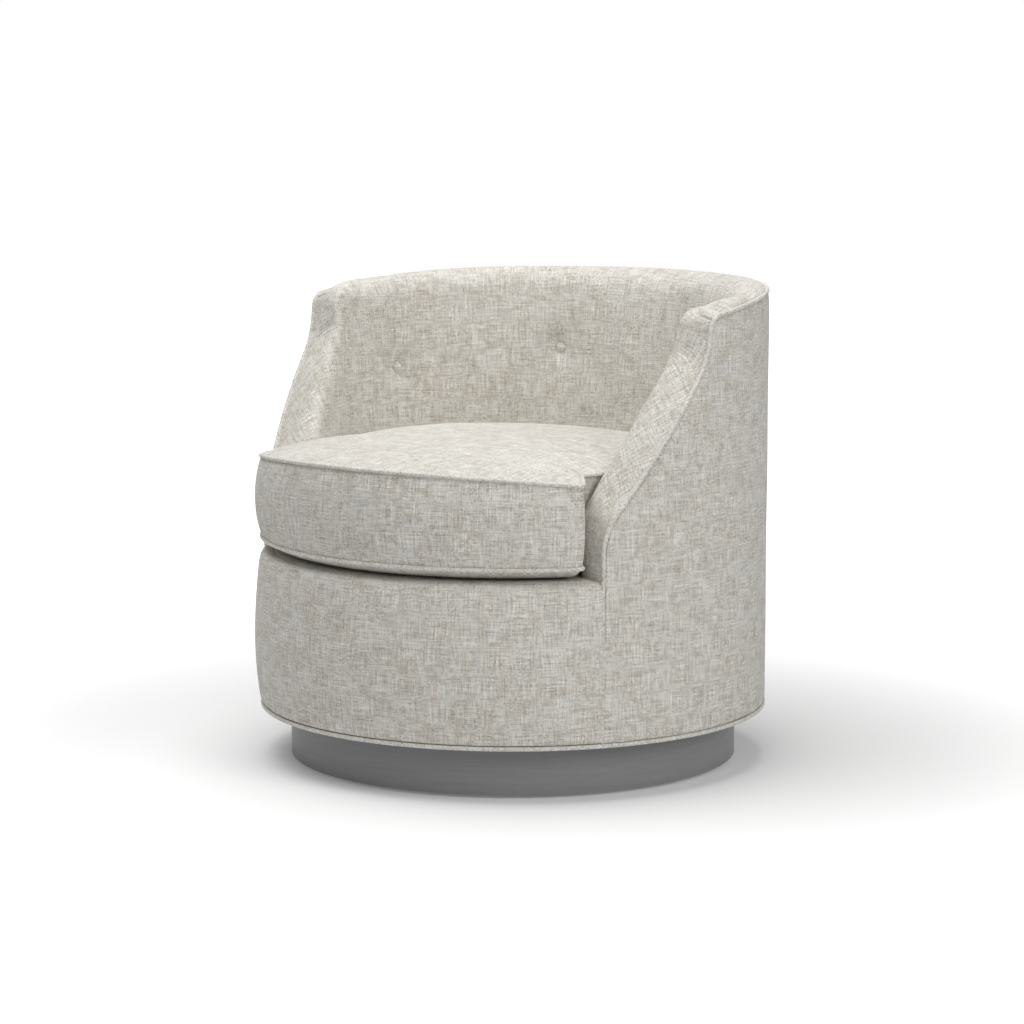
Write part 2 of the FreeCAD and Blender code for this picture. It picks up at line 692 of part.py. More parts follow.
def make_springs():
    """Flat zigzag springs, bars across and half-round bends, from the front to the back."""
    height = size("spring_height")
    springs = []
    for x, front, back in spring_places():
        steps = max(2, round((back - front) / size("spring_pitch")))
        pitch = (back - front) / steps
        half_bar = size("spring_half_width") - pitch / 2
        edges = []
        side = 1
        for index in range(steps + 1):
            y = front + index * pitch
            near = FreeCAD.Vector(x - side * half_bar, y, height)
            far = FreeCAD.Vector(x + side * half_bar, y, height)
            edges.append(Part.makeLine(near, far))
            if index < steps:
                outer = FreeCAD.Vector(x + side * (half_bar + pitch / 2), y + pitch / 2, height)
                end = far + FreeCAD.Vector(0, pitch, 0)
                edges.append(Part.Arc(far, outer, end).toShape())
            side = -side
        springs.append(pipe(edges, size("wire_radius")))
    return shape_object("seat_springs", Part.makeCompound(springs))


def make_clips():
    """Clip over the end bar of each spring, nailed to the seat rail."""
    bottom = size("seat_rail_top")
    height = size("spring_top") - bottom
    clips = []
    for x, front, back in spring_places():
        for y in (front, back):
            block = Part.makeBox(size("clip_width"), size("clip_depth"), height,
                                 FreeCAD.Vector(x - size("clip_width") / 2, y - size("clip_depth") / 2, bottom))
            slot = Part.makeCylinder(size("wire_radius") + size("ball_gap"), size("clip_width") * 2,
                                     FreeCAD.Vector(x - size("clip_width"), y, size("spring_height")), ACROSS)
            clips.append(block.cut(slot))
    return shape_object("spring_clips", Part.makeCompound(clips))


make_springs()
make_clips()
disc_body("burlap", "board_radius", "burlap_bottom", "burlap_thickness")
disc_body("deck_pad", "board_radius", "burlap_top", "deck_pad_thickness")


# Inside padding: one crowned pad for the arms and the back, rolled over the arm line

def inside_radius(angle):
    """Inside of the padding at the deck: round along the arms, drawn in to the back."""
    turn = math.radians(angle)
    arm = size("arm_inside_radius")
    if math.cos(turn) >= 0:
        return arm
    back = size("back_inside_radius")
    return 1 / math.hypot(math.sin(turn) / arm, math.cos(turn) / back)


def tuft(angle, height):
    """Depth of the button dimples at a place on the inside."""
    depth = 0
    for button_angle, button_height in button_places():
        along = math.radians(angle - button_angle) * size("back_inside_radius")
        away = math.hypot(along, height - button_height) / size("tuft_spread")
        depth += size("tuft_depth") * math.exp(-away ** 2)
    return depth


def height_share(seam_height):
    """How far up the arm line a seam height is: 0 at the low bend, 1 from the arm top on."""
    low = size("arm_low_bend_height")
    share = (seam_height - low) / (size("arm_top_height") - low)
    return min(max(share, 0.0), 1.0)


def lean_at(angle, seam_height):
    back_share = max(0.0, -math.cos(math.radians(angle)))
    arm = size("arm_lean") * height_share(seam_height) ** ARM_LEAN_POWER
    return arm + (size("back_lean") - arm) * back_share


def crest_height(angle, seam_height):
    """Top of the roll: over the rim seam, and well ahead of the seam of a sloping arm."""
    tall = height_share(seam_height)
    reach = size("crown_reach") + (size("crown_top_reach") - size("crown_reach")) * tall
    depth = -size("body_radius") * math.cos(math.radians(angle))
    return max(line_height(depth, -reach), seam_height) + size("roll_rise")


def nose_extra(angle):
    """Rounds the inner edge of the arm front."""
    along = max(0.0, math.radians(min(angle, 360 - angle) - FRONT_ANGLE) * size("body_radius"))
    nose = size("nose_radius")
    if along >= nose:
        return 0
    return nose - math.sqrt(nose ** 2 - (nose - along) ** 2)


LEAN_POWER = 1.6
ARM_LEAN_POWER = 3
FACE_SHARES = (0, 0.22, 0.42, 0.55, 0.63, 0.7, 0.76, 0.83, 0.91, 1)
INNER_ROLL_SHARES = (0.26, 0.82)
RIM_CREST_SHARES = (0.42, 0.26, 0.7)
ARM_CREST_SHARES = (0.79, 0.34, 0.42)


def face_radius(angle, share, height, seam_height):
    """Radius of the padding's inner face; share is 0 at the deck and 1 at the shoulder."""
    lean = lean_at(angle, seam_height) * share ** LEAN_POWER
    belly = size("pad_belly") * math.sin(math.pi * share)
    wall = inside_radius(angle) + lean - belly + tuft(angle, height)
    return max(wall, inside_radius(angle) + nose_extra(angle))


def padding_section(angle, seam_height):
    """Closed section in the upright plane at an angle, from the inner face to the outside cover."""
    bottom = size("pad_bottom")
    outer = size("roll_outside")
    top = crest_height(angle, seam_height)
    crown = top - seam_height - size("roll_rise")
    bevel = min(1.0, crown / size("crown_reach"))
    crest_share, outer_share, outer_rise_share = [
        rim + (arm - rim) * bevel for rim, arm in zip(RIM_CREST_SHARES, ARM_CREST_SHARES)]
    shoulder_height = top - size("roll_rise") - size("roll_drop")
    face = []
    for share in FACE_SHARES:
        height = bottom + (shoulder_height - bottom) * share
        face.append((face_radius(angle, share, height, seam_height), height))
    shoulder = face[-1][0]
    crest = (outer - (outer - shoulder) * crest_share, top)
    inner_share, inner_drop_share = INNER_ROLL_SHARES
    inner_arc = (shoulder + (crest[0] - shoulder) * inner_share,
                 top - size("roll_rise") * inner_drop_share)
    outer_arc = (outer - (outer - crest[0]) * outer_share,
                 seam_height + (top - seam_height) * outer_rise_share)

    def place(point):
        return at_angle(angle, point[0], point[1])

    edges = [Part.makeLine(place(a), place(b)) for a, b in zip(face, face[1:])]
    edges.append(Part.Arc(place(face[-1]), place(inner_arc), place(crest)).toShape())
    edges.append(Part.Arc(place(crest), place(outer_arc), place((outer, seam_height))).toShape())
    rest = [(outer, seam_height), (outer, bottom), face[0]]
    edges += [Part.makeLine(place(a), place(b)) for a, b in zip(rest, rest[1:])]
    return Part.Wire(edges)


LINE_STEPS = 5
BEND_STEPS = 6
BACK_STATION_STEP = 5.0


def padding_stations():
    """Angle and seam height of each section, from the right arm front to the back centre."""
    radius = size("body_radius")
    rows = []
    edges = side_edges(0.0, 0.0)
    for edge in edges[1:-1]:
        steps = BEND_STEPS if edge.Curve.TypeId == "Part::GeomCircle" else LINE_STEPS
        points = edge.discretize(steps + 1)
        if points[0].y > points[-1].y:
            points.reverse()
        rows += [(angle_of_depth(point.y, radius), point.z) for point in points[:-1]]
    arm_top = edges[-1].Vertexes[0].Point
    last = angle_of_depth(arm_top.y, radius)
    rows.append((last, arm_top.z))
    count = math.ceil((180 - last) / BACK_STATION_STEP)
    for index in range(1, count + 1):
        angle = last + (180 - last) * index / count
        rows.append((angle, line_height(-radius * math.cos(math.radians(angle)))))
    return rows


def frame_room():
    """Room that the frame, the liner and the ties take up behind the padding."""
    reach = size("body_radius") + size("overrun")
    drum = upright_rod(0, 0, reach, 0, size("rim_highest") + size("overrun"))
    inner = upright_rod(0, 0, size("pad_outside"), 0, size("rim_highest") + size("overrun"))
    ring = drum.cut(inner)
    room = ring.cut(above_arm_line(size("front_pad") - fit_gap, size("rim_pad") - fit_gap))
    holes = [button_rod(angle, height, size("tie_radius") + size("ball_gap"), size("cover_inside"))
             for angle, height in button_places()]
    pockets = [button_rod(angle, height, size("button_radius") + fit_gap,
                          button_back(angle, height) + fit_gap, size("back_inside_radius") / 2)
               for angle, height in button_places()]
    return [room] + holes + pockets


def make_inside_back():
    half = padding_stations()
    mirrored = [(360 - angle, height) for angle, height in half]
    mirrored.reverse()
    rows = half + mirrored[1:]
    pad = Part.makeLoft([padding_section(*row) for row in rows], True, True)
    return shape_object("inside_back", pad.cut(frame_room()))


def button_back(angle, height):
    """Radius of a button's back face, on the floor of its dimple."""
    seam_height = line_height(-size("body_radius") * math.cos(math.radians(angle)))
    shoulder_height = crest_height(angle, seam_height) - size("roll_rise") - size("roll_drop")
    share = (height - size("pad_bottom")) / (shoulder_height - size("pad_bottom"))
    return face_radius(angle, share, height, seam_height)


def make_buttons():
    """Domed covered buttons, each turned round its own axis, with an eye behind."""
    radius = size("button_radius")
    height = size("button_height")
    rim = height * BUTTON_RIM_SHARE
    eye = size("tie_radius") + size("ball_gap")
    dome = height - rim
    ball = (radius ** 2 + dome ** 2) / (2 * dome)
    bend = radius / 2
    bend_height = height - ball + math.sqrt(ball ** 2 - bend ** 2)
    outline = [(0, rim), (eye, rim), (eye, 0), (radius, 0), (radius, rim)]
    corners = [FreeCAD.Vector(across, 0, up) for across, up in outline]
    top = FreeCAD.Vector(0, 0, height)
    edges = [Part.makeLine(a, b) for a, b in zip(corners, corners[1:])]
    edges.append(Part.Arc(corners[-1], FreeCAD.Vector(bend, 0, bend_height), top).toShape())
    edges.append(Part.makeLine(top, corners[0]))
    button = Part.Face(Part.Wire(edges)).revolve(FreeCAD.Vector(0, 0, 0), UP, 360)
    buttons = []
    for angle, level in button_places():
        place = at_angle(angle, button_back(angle, level), level)
        turn = FreeCAD.Rotation(UP, at_angle(angle, -1, 0))
        buttons.append(button.transformed(FreeCAD.Placement(place, turn).toMatrix(), True))
    return shape_object("buttons", Part.makeCompound(buttons))


def make_ties():
    """Twine from the button's eye through the padding to a washer behind the liner."""
    ties = []
    for angle, level in button_places():
        start = button_back(angle, level) - size("button_height") * BUTTON_RIM_SHARE + size("ball_gap")
        washer_front = size("board_radius") + size("ball_gap")
        washer_back = washer_front + size("knot_thickness")
        twine = button_rod(angle, level, size("tie_radius"), washer_back, start)
        washer = button_rod(angle, level, size("knot_radius"), washer_back, washer_front)
        ties.append(twine.fuse(washer).removeSplitter())
    return shape_object("button_ties", Part.makeCompound(ties))


make_inside_back()
make_buttons()
make_ties()


# Covers and piping

def make_outside_back():
    """Cover and lining board round the sides and the back, from seam to seam."""
    gap = math.degrees(size("seam_gap") / size("body_radius"))
    start = FRONT_ANGLE + gap
    blank = curved_block(size("cover_inside"), size("body_radius"), size("cover_bottom"),
                         size("rim_highest"), start, 360 - 2 * start)
    draw_in = size("body_radius") - size("piping_circle")
    reach = size("piping_radius") + fit_gap + draw_in * size("arm_front_reach") / size("body_radius")
    room = 2 * size("body_radius")
    corner = FreeCAD.Vector(-room / 2, -room / 2, size("deck_height"))
    above_deck = Part.makeBox(room, 2 * room, room, corner)
    trim = above_arm_line(reach, reach).common(above_deck)
    return shape_object("outside_back", blank.cut(trim))


BORDER_SWELL_SHARES = (0, 0.55, 0.86, 1, 1, 0.8, 0.42, 0)
BORDER_HEIGHT_SHARES = (0, 0.14, 0.3, 0.45, 0.55, 0.74, 0.88, 1)
BORDER_STEPS = 24
BORDER_END_POWER = 10


def border_section(angle, end_angle):
    """Section of the padded front border: swollen face, rounded nose, lip over the seat rail."""
    bottom = size("cover_bottom")
    nose = size("border_nose")
    top = size("deck_height")
    outer = size("body_radius")
    flat_room = 1 / math.cos(math.radians(end_angle / BORDER_STEPS))
    inner = size("cover_inside") * flat_room
    lip = size("hoop_inside") * flat_room
    lip_bottom = size("spring_top") + fit_gap
    swell = size("border_swell") * (1 - abs(angle / end_angle) ** BORDER_END_POWER)
    face_top = top - nose
    face = []
    for swell_share, height_share in zip(BORDER_SWELL_SHARES, BORDER_HEIGHT_SHARES):
        radius = outer - cover_draw() * (1 - swell_share) + swell * swell_share
        face.append((radius, bottom + (face_top - bottom) * height_share))
    nose_start = face[-1]
    nose_end = (nose_start[0] - nose, top)
    bend = math.sqrt(0.5)
    nose_middle = (nose_start[0] - nose + nose * bend, face_top + nose * bend)
    rest = [nose_end, (lip, top), (lip, lip_bottom), (inner, lip_bottom), (inner, bottom), face[0]]

    def place(point):
        return at_angle(angle, point[0], point[1])

    edges = [Part.makeLine(place(a), place(b)) for a, b in zip(face, face[1:])]
    edges.append(Part.Arc(place(nose_start), place(nose_middle), place(nose_end)).toShape())
    edges += [Part.makeLine(place(a), place(b)) for a, b in zip(rest, rest[1:])]
    return Part.Wire(edges)


def cover_draw():
    """How far the border is drawn in at its two seams."""
    return size("cover_thickness") / 2


def make_front_border():
    gap = math.degrees(size("seam_gap") / size("body_radius"))
    end_angle = FRONT_ANGLE - gap
    angles = [end_angle * (2 * index / BORDER_STEPS - 1) for index in range(BORDER_STEPS + 1)]
    wires = [border_section(angle, end_angle) for angle in angles]
    return shape_object("front_border", Part.makeLoft(wires, True, True))


STRAIGHT_LIMIT = 1e-5


def biarc(start, start_way, end, end_way):
    """Two arcs that join two points with given headings."""
    span = end - start
    ways = start_way + end_way
    spread = 2 * (1 - start_way.dot(end_way))
    if spread < STRAIGHT_LIMIT ** 2:
        return [Part.makeLine(start, end)]
    along = span.dot(ways)
    reach = (-along + math.sqrt(along ** 2 + spread * span.dot(span))) / spread
    first = start + start_way * reach
    last = end - end_way * reach
    join = (first + last) / 2
    return [tangent_arc(start, start_way, join), tangent_arc(join, (last - first).normalize(), end)]


def tangent_arc(start, way, end):
    """Arc from start, leaving along way, to end."""
    chord = end - start
    side = chord - way * chord.dot(way)
    if side.Length < STRAIGHT_LIMIT * chord.Length:
        return Part.makeLine(start, end)
    sagitta = chord.Length / 2 * math.tan(way.getAngle(chord) / 2)
    across = chord / chord.Length
    lift = (across * side.dot(across) - side).normalize()
    return Part.Arc(start, (start + end) / 2 + lift * sagitta, end).toShape()


def heading_at(before, point, after):
    """Heading at the middle of three points, along the circle through them."""
    arriving = point - before
    leaving = after - point
    share = leaving.Length / arriving.Length
    return (arriving * share + leaving / share).normalize()


def headings(points):
    """At each point, the heading of the circle through it and its neighbours."""
    ways = [heading_at(*three) for three in zip(points, points[1:], points[2:])]
    first = (points[1] - points[0]).normalize()
    last = (points[-1] - points[-2]).normalize()
    return [first] + ways + [last]


def piping_path(points, ways):
    """Arcs through points with a heading at each."""
    edges = []
    for index in range(len(points) - 1):
        edges += biarc(points[index], ways[index], points[index + 1], ways[index + 1])
    return edges


def make_rim_piping():
    """Piping from the deck up one front seam, round the rim and down the other side."""
    radius = size("piping_circle")
    seam = size("body_radius")
    points = []
    for edge in side_edges(0.0, 0.0):
        steps = max(LINE_STEPS, round(edge.Length / size("piping_step")))
        along = edge.discretize(steps + 1)
        points += [(point.y, point.z) for point in along[:-1]]
    points = [point for point in points if point[1] > size("deck_height")]
    start = (points[0][0], size("deck_height"))
    points = [start] + points
    right = [at_angle(angle_of_depth(depth, seam), radius, height) for depth, height in points]
    back = at_angle(180, radius, size("rim_back_height"))
    left = [FreeCAD.Vector(-point.x, point.y, point.z) for point in reversed(right)]
    path = right + [back] + left
    edges = piping_path(path, headings(path))
    return shape_object("rim_piping", pipe(edges, size("piping_radius")))


def make_lower_piping():
    ring = bound("Part::Torus", "lower_piping", Radius1=cell("piping_circle"),
                 Radius2=cell("piping_radius"), _at_z=cell("low_piping_height"))
    return ring


make_outside_back()
make_front_border()
make_rim_piping()
make_lower_piping()


# Cushion: T-shaped, crowned above and below, with swollen boxing and piping on both seams.
# It is worked out as rows, each a place on the seam, from the front middle round the right side
# to the back middle. Rows lie in threes on arcs, apart from the ear's cut tip and straight back edge.

SIDE_ANGLES = (66, 78, 92, 106, 124, 142, 161, 180)
CORNER_SWELL_SHARE = 0.7
CUSHION_MIDDLE_SHARE = 0.1
CROWN_POWER = 2.4
UNDER_SHARES = ((0.86, 0), (0.94, 0.2), (0.98, 0.55), (1, 1))
BOXING_SHARES = ((0, 0.036), (0.62, 0.22), (1, 0.5), (0.62, 0.78), (0, 0.964), (0, 1))
CROWN_SHARES = (0.985, 0.95, 0.88, 0.76, 0.6, 0.4, 0.2, CUSHION_MIDDLE_SHARE)


def piping_offset():
    """Seam to the middle of its piping."""
    return size("piping_radius") + fit_gap


def cushion_side_radius(angle):
    room = size("pad_belly") + size("cushion_clearance") + size("piping_radius") + piping_offset()
    return inside_radius(angle) - room


def cushion_rows():
    """Upper seam with the share of the boxing's swell at each row."""
    front = size("cushion_front_radius") - size("piping_radius") - piping_offset()
    corner_angle = size("cushion_corner_angle")
    side_height = size("cushion_side_height")
    rise = size("cushion_front_height") - size("cushion_corner_height")
    middle_height = size("cushion_corner_height") + rise * math.cos(math.pi / 4)
    corner_height = size("cushion_corner_height")
    corner = at_angle(corner_angle, front, corner_height)
    cut_angle = corner_angle - math.degrees(size("cushion_corner_cut") / front)
    ear_angle = FRONT_ANGLE - math.degrees(size("ear_clearance") / size("arm_inside_radius"))
    ear = at_angle(ear_angle, cushion_side_radius(ear_angle), side_height)
    ear_way = FreeCAD.Vector(ear.x - corner.x, ear.y - corner.y, 0).normalize()
    rows = [
        (at_angle(0, front, size("cushion_front_height")), 1),
        (at_angle(cut_angle / 2, front, middle_height), 1),
        (at_angle(cut_angle, front, corner_height), CORNER_SWELL_SHARE),
        (corner + ear_way * size("cushion_corner_cut"), CORNER_SWELL_SHARE),
        (ear, 0),
    ]
    for angle in SIDE_ANGLES:
        rows.append((at_angle(angle, cushion_side_radius(angle), side_height), 0))
    return rows


def cushion_centre():
    front = size("cushion_front_radius")
    return FreeCAD.Vector(0, (cushion_side_radius(180) - front) / 2, 0)


def cushion_wire(points):
    """Closed outline through right-hand points and their mirror images."""
    def half_edges(half):
        edges = [Part.Arc(*half[0:3]).toShape()]
        edges += [Part.makeLine(half[2], half[3]), Part.makeLine(half[3], half[4])]
        for start in range(4, len(half) - 2, 2):
            edges.append(Part.Arc(*half[start:start + 3]).toShape())
        return edges

    mirrored = [FreeCAD.Vector(-point.x, point.y, point.z) for point in points]
    right = half_edges(points)
    left = half_edges(mirrored)
    return right, left


def cushion_level(plan_share, heights, swells=None):
    """One level of the cushion, the seam drawn in to a share of its size."""
    centre = cushion_centre()
    points = []
    for index, (row, swell_share) in enumerate(cushion_rows()):
        flat = FreeCAD.Vector(row.x, row.y, 0)
        place = centre + (flat - centre) * plan_share
        if swells:
            place += flat.normalize() * (size("cushion_swell") * swells * swell_share)
        points.append(FreeCAD.Vector(place.x, place.y, heights[index]))
    right, left = cushion_wire(points)
    return Part.Wire(Part.__sortEdges__(right + left))


def make_cushion_form():
    bottom = size("cushion_bottom")
    low_seam = size("cushion_low_seam")
    crown = size("cushion_crown_height")
    seam_heights = [row.z for row, _ in cushion_rows()]
    count = len(seam_heights)
    levels = []
    for plan_share, height_share in UNDER_SHARES:
        levels.append(cushion_level(plan_share, [bottom + (low_seam - bottom) * height_share] * count))
    for swells, height_share in BOXING_SHARES:
        heights = [low_seam + (seam - low_seam) * height_share for seam in seam_heights]
        levels.append(cushion_level(1, heights, swells))
    inner = CUSHION_MIDDLE_SHARE ** CROWN_POWER
    for plan_share in CROWN_SHARES:
        drop = (plan_share ** CROWN_POWER - inner) / (1 - inner)
        levels.append(cushion_level(plan_share, [crown - (crown - seam) * drop for seam in seam_heights]))
    return Part.makeLoft(levels, True, True)


def cushion_block(inset, bottom, top):
    """Plain T-shaped block inside the seams."""
    share = 1 - inset / size("cushion_front_radius")
    outline = cushion_level(share, [bottom] * len(cushion_rows()))
    return Part.Face(outline).extrude(UP * (top - bottom))


def make_cushion():
    """Cover with room for its core."""
    low = size("cushion_low_seam")
    high = size("cushion_corner_height")
    room = cushion_block(size("core_inset"), low, high)
    shape_object("cushion_cover", make_cushion_form().cut(room))
    core = cushion_block(size("core_inset") + fit_gap, low + fit_gap, high - fit_gap)
    shape_object("cushion_core", core)


def cushion_piping_path(heights):
    """Middle line of one piping, outside the seam all round, open at the back middle.

    It hugs both ends of the cut tip and rounds the other joints of the seam's edges.
    """
    seam = [FreeCAD.Vector(row.x, row.y, height) for (row, _), height in zip(cushion_rows(), heights)]
    right, _ = cushion_wire(seam)
    points = []
    ways = []
    for index, edge in enumerate(right):
        start_gap = fit_gap if index in (1, 2) else size("piping_corner")
        end_gap = fit_gap if index in (0, 1) else size("piping_corner")
        inner = max(1, round(edge.Length / (2 * size("piping_step"))))
        for step in range(inner + 1):
            along = start_gap + (edge.Length - start_gap - end_gap) * step / inner
            parameter = edge.getParameterByLength(along)
            heading = edge.tangentAt(parameter)
            outward = FreeCAD.Vector(heading.y, -heading.x, 0).normalize()
            points.append(edge.valueAt(parameter) + outward * piping_offset())
            ways.append(heading)
    points[0].x = 0
    points[-1].x = fit_gap / 2
    ways[0] = FreeCAD.Vector(1, 0, 0)
    ways[-1] = FreeCAD.Vector(-1, 0, 0)
    mirrored = [FreeCAD.Vector(-point.x, point.y, point.z) for point in reversed(points[1:])]
    mirrored_ways = [FreeCAD.Vector(way.x, -way.y, -way.z) for way in reversed(ways[1:])]
    return piping_path(mirrored + points, mirrored_ways + ways)


def make_cushion_piping():
    upper = [row.z for row, _ in cushion_rows()]
    lower = [size("cushion_low_seam")] * len(upper)
    for label, heights in (("cushion_upper_piping", upper), ("cushion_lower_piping", lower)):
        shape_object(label, pipe(cushion_piping_path(heights), size("piping_radius")))


make_cushion()
make_cushion_piping()


# Check and write

SUBPARTS = (
    "floor_glides", "plinth_ring", "plinth_blocks", "plinth_board", "plate_screws", "lower_swivel_plate",
    "bearing_balls", "centre_rivet", "upper_swivel_plate", "plate_bolts", "base_board", "dust_cover",
    "lower_hoop", "lower_studs", "seat_rail", "seat_springs", "spring_clips", "burlap", "deck_pad",
    "upper_studs", "arm_panel_right", "arm_panel_left", "top_rail", "back_liner", "inside_back",
    "buttons", "button_ties", "outside_back", "front_border", "rim_piping", "lower_piping",
    "cushion_cover", "cushion_core", "cushion_upper_piping", "cushion_lower_piping",
)


def check_document():
    doc.recompute()
    for item in doc.Objects:
        if "Invalid" in item.State or "Error" in item.State:
            raise RuntimeError(f"{item.Label} did not rebuild: {item.State}")


def write_parts():
    os.makedirs("parts", exist_ok=True)
    for label in SUBPARTS:
        item = doc.getObjectsByLabel(label)[0]
        shape = item.Shape
        if shape.isNull() or not shape.isValid() or not shape.Solids:
            raise RuntimeError(f"{label} has no valid solid")
        shape.exportStep(f"parts/{label}.step")
        box = shape.BoundBox
        print(f"{label}: {len(shape.Solids)} solids, {shape.Volume / 1000:.1f} cm3, "
              f"Z {box.ZMin:.1f} to {box.ZMax:.1f}")


check_document()
write_parts()
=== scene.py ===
import math

import bmesh
import bpy
import numpy as np
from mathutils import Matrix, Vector, kdtree


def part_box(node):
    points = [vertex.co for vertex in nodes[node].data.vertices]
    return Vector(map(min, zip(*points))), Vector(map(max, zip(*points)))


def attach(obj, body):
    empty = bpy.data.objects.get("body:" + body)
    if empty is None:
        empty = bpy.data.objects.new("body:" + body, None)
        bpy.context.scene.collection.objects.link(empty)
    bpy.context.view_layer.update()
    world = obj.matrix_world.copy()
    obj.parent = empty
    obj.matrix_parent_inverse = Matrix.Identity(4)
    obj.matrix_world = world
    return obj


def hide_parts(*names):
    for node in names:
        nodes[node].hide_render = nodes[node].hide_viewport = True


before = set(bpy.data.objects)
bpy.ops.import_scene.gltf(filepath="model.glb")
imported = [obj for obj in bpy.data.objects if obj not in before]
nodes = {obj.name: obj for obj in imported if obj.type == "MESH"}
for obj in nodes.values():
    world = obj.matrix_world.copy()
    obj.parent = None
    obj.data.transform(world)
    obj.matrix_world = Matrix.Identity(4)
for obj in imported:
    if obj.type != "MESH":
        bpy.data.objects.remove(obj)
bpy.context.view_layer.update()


# The floor glides are turned nylon pads, nailed up into the plinth blocks.
# They are black and slightly glossy, with the fine dull scatter that moulded nylon has.

def put(tree, kind, inputs=None, **settings):
    """A shader node with its settings made, and each input given a value or joined to an output."""
    made = tree.nodes.new(kind)
    for name, value in settings.items():
        setattr(made, name, value)
    for name, value in (inputs or {}).items():
        if isinstance(value, bpy.types.NodeSocket):
            tree.links.new(value, made.inputs[name])
        else:
            made.inputs[name].default_value = value
    return made


def new_finish(name, **values):
    """A material with its shader, whose plain values are set on the shader's own sockets."""
    finish = bpy.data.materials.new(name)
    finish.use_nodes = True
    shader = finish.node_tree.nodes["Principled BSDF"]
    for socket, value in values.items():
        shader.inputs[socket.replace("_", " ")].default_value = value
    return finish, finish.node_tree, shader


def relief(tree, shader, height, distance, strength=1.0):
    """Feeds a height through a bump node into the shader."""
    bump = put(tree, "ShaderNodeBump", {"Height": height, "Distance": distance, "Strength": strength})
    tree.links.new(bump.outputs["Normal"], shader.inputs["Normal"])


def own_place(tree):
    """Places in the piece's own frame, in metres."""
    return put(tree, "ShaderNodeTexCoord").outputs["Object"]


def two_tone(tree, shader, mask, first, second):
    """Colours a finish between two tones by a mask."""
    shade = put(tree, "ShaderNodeMix", {0: mask, 6: (*first, 1), 7: (*second, 1)}, data_type="RGBA")
    tree.links.new(shade.outputs[2], shader.inputs["Base Color"])


def wear(finish, *names):
    """Gives a finish to parts of the frame."""
    for name in names:
        nodes[name].data.materials.clear()
        nodes[name].data.materials.append(finish)


nylon, tree, shader = new_finish("black_nylon", Roughness=0.42)
scatter = put(tree, "ShaderNodeTexNoise", {"Vector": own_place(tree), "Scale": 900.0, "Detail": 3.0})
two_tone(tree, shader, scatter.outputs["Fac"], (0.012, 0.012, 0.013), (0.03, 0.03, 0.032))
relief(tree, shader, scatter.outputs["Fac"], 0.0002, 0.5)
wear(nylon, "floor_glides")


# The plinth is a ring of bent plywood, painted flat grey so thinly that its grain still shows.
# The grain runs round the ring, and the blocks and the board inside it are bare birch ply.

def new_group(name, takes, gives):
    """A shared node group with its entry and exit sockets."""
    group = bpy.data.node_groups.new(name, "ShaderNodeTree")
    for socket, kind, value in takes:
        made = group.interface.new_socket(socket, in_out="INPUT", socket_type="NodeSocket" + kind)
        if value is not None:
            made.default_value = value
    for socket, kind in gives:
        group.interface.new_socket(socket, in_out="OUTPUT", socket_type="NodeSocket" + kind)
    entry = group.nodes.new("NodeGroupInput")
    leave = group.nodes.new("NodeGroupOutput")
    return group, entry.outputs, leave.inputs


def maths(tree, operation, first, second=0.0):
    """The outcome of a sum on two values."""
    return put(tree, "ShaderNodeMath", {0: first, 1: second}, operation=operation).outputs[0]


grain, entry, leave = new_group(
    "wood_grain",
    [("Place", "Vector", None), ("Pale", "Color", (1, 1, 1, 1)), ("Deep", "Color", (0, 0, 0, 1)),
     ("Along", "Float", 8.0), ("Across", "Float", 90.0)],
    [("Color", "Color"), ("Height", "Float"), ("Fibre", "Float")])
parts = put(grain, "ShaderNodeSeparateXYZ", {"Vector": entry["Place"]})
scaled = {axis: maths(grain, "MULTIPLY", parts.outputs[axis], entry[size])
          for axis, size in (("X", "Along"), ("Y", "Across"), ("Z", "Across"))}
spot = put(grain, "ShaderNodeCombineXYZ", scaled)
bands = put(grain, "ShaderNodeTexNoise", {"Vector": spot.outputs[0], "Scale": 1.0, "Detail": 4.0,
                                          "Distortion": 0.6})
fine = put(grain, "ShaderNodeVectorMath", {0: spot.outputs[0], 1: (4.0, 9.0, 9.0)}, operation="MULTIPLY")
fibre = put(grain, "ShaderNodeTexNoise", {"Vector": fine.outputs[0], "Scale": 1.0, "Detail": 2.0})
both = maths(grain, "MULTIPLY", bands.outputs["Fac"], fibre.outputs["Fac"])
spread = put(grain, "ShaderNodeMapRange", {"Value": both, "From Min": 0.1, "From Max": 0.42})
tint = put(grain, "ShaderNodeMix", {0: spread.outputs[0], 6: entry["Deep"], 7: entry["Pale"]}, data_type="RGBA")
grain.links.new(tint.outputs[2], leave["Color"])
grain.links.new(both, leave["Height"])
grain.links.new(fibre.outputs["Fac"], leave["Fibre"])

wrap, entry, leave = new_group("round_the_axis", [], [("Place", "Vector")])
parts = put(wrap, "ShaderNodeSeparateXYZ", {"Vector": own_place(wrap)}).outputs
turn = maths(wrap, "ARCTAN2", parts["X"], maths(wrap, "MULTIPLY", parts["Y"], -1.0))
level = put(wrap, "ShaderNodeCombineXYZ", {"X": parts["X"], "Y": parts["Y"]}).outputs[0]
far = put(wrap, "ShaderNodeVectorMath", {0: level}, operation="LENGTH").outputs["Value"]
around = maths(wrap, "MULTIPLY", turn, 0.4)
unrolled = put(wrap, "ShaderNodeCombineXYZ", {"X": around, "Y": parts["Z"], "Z": far})
wrap.links.new(unrolled.outputs[0], leave["Place"])


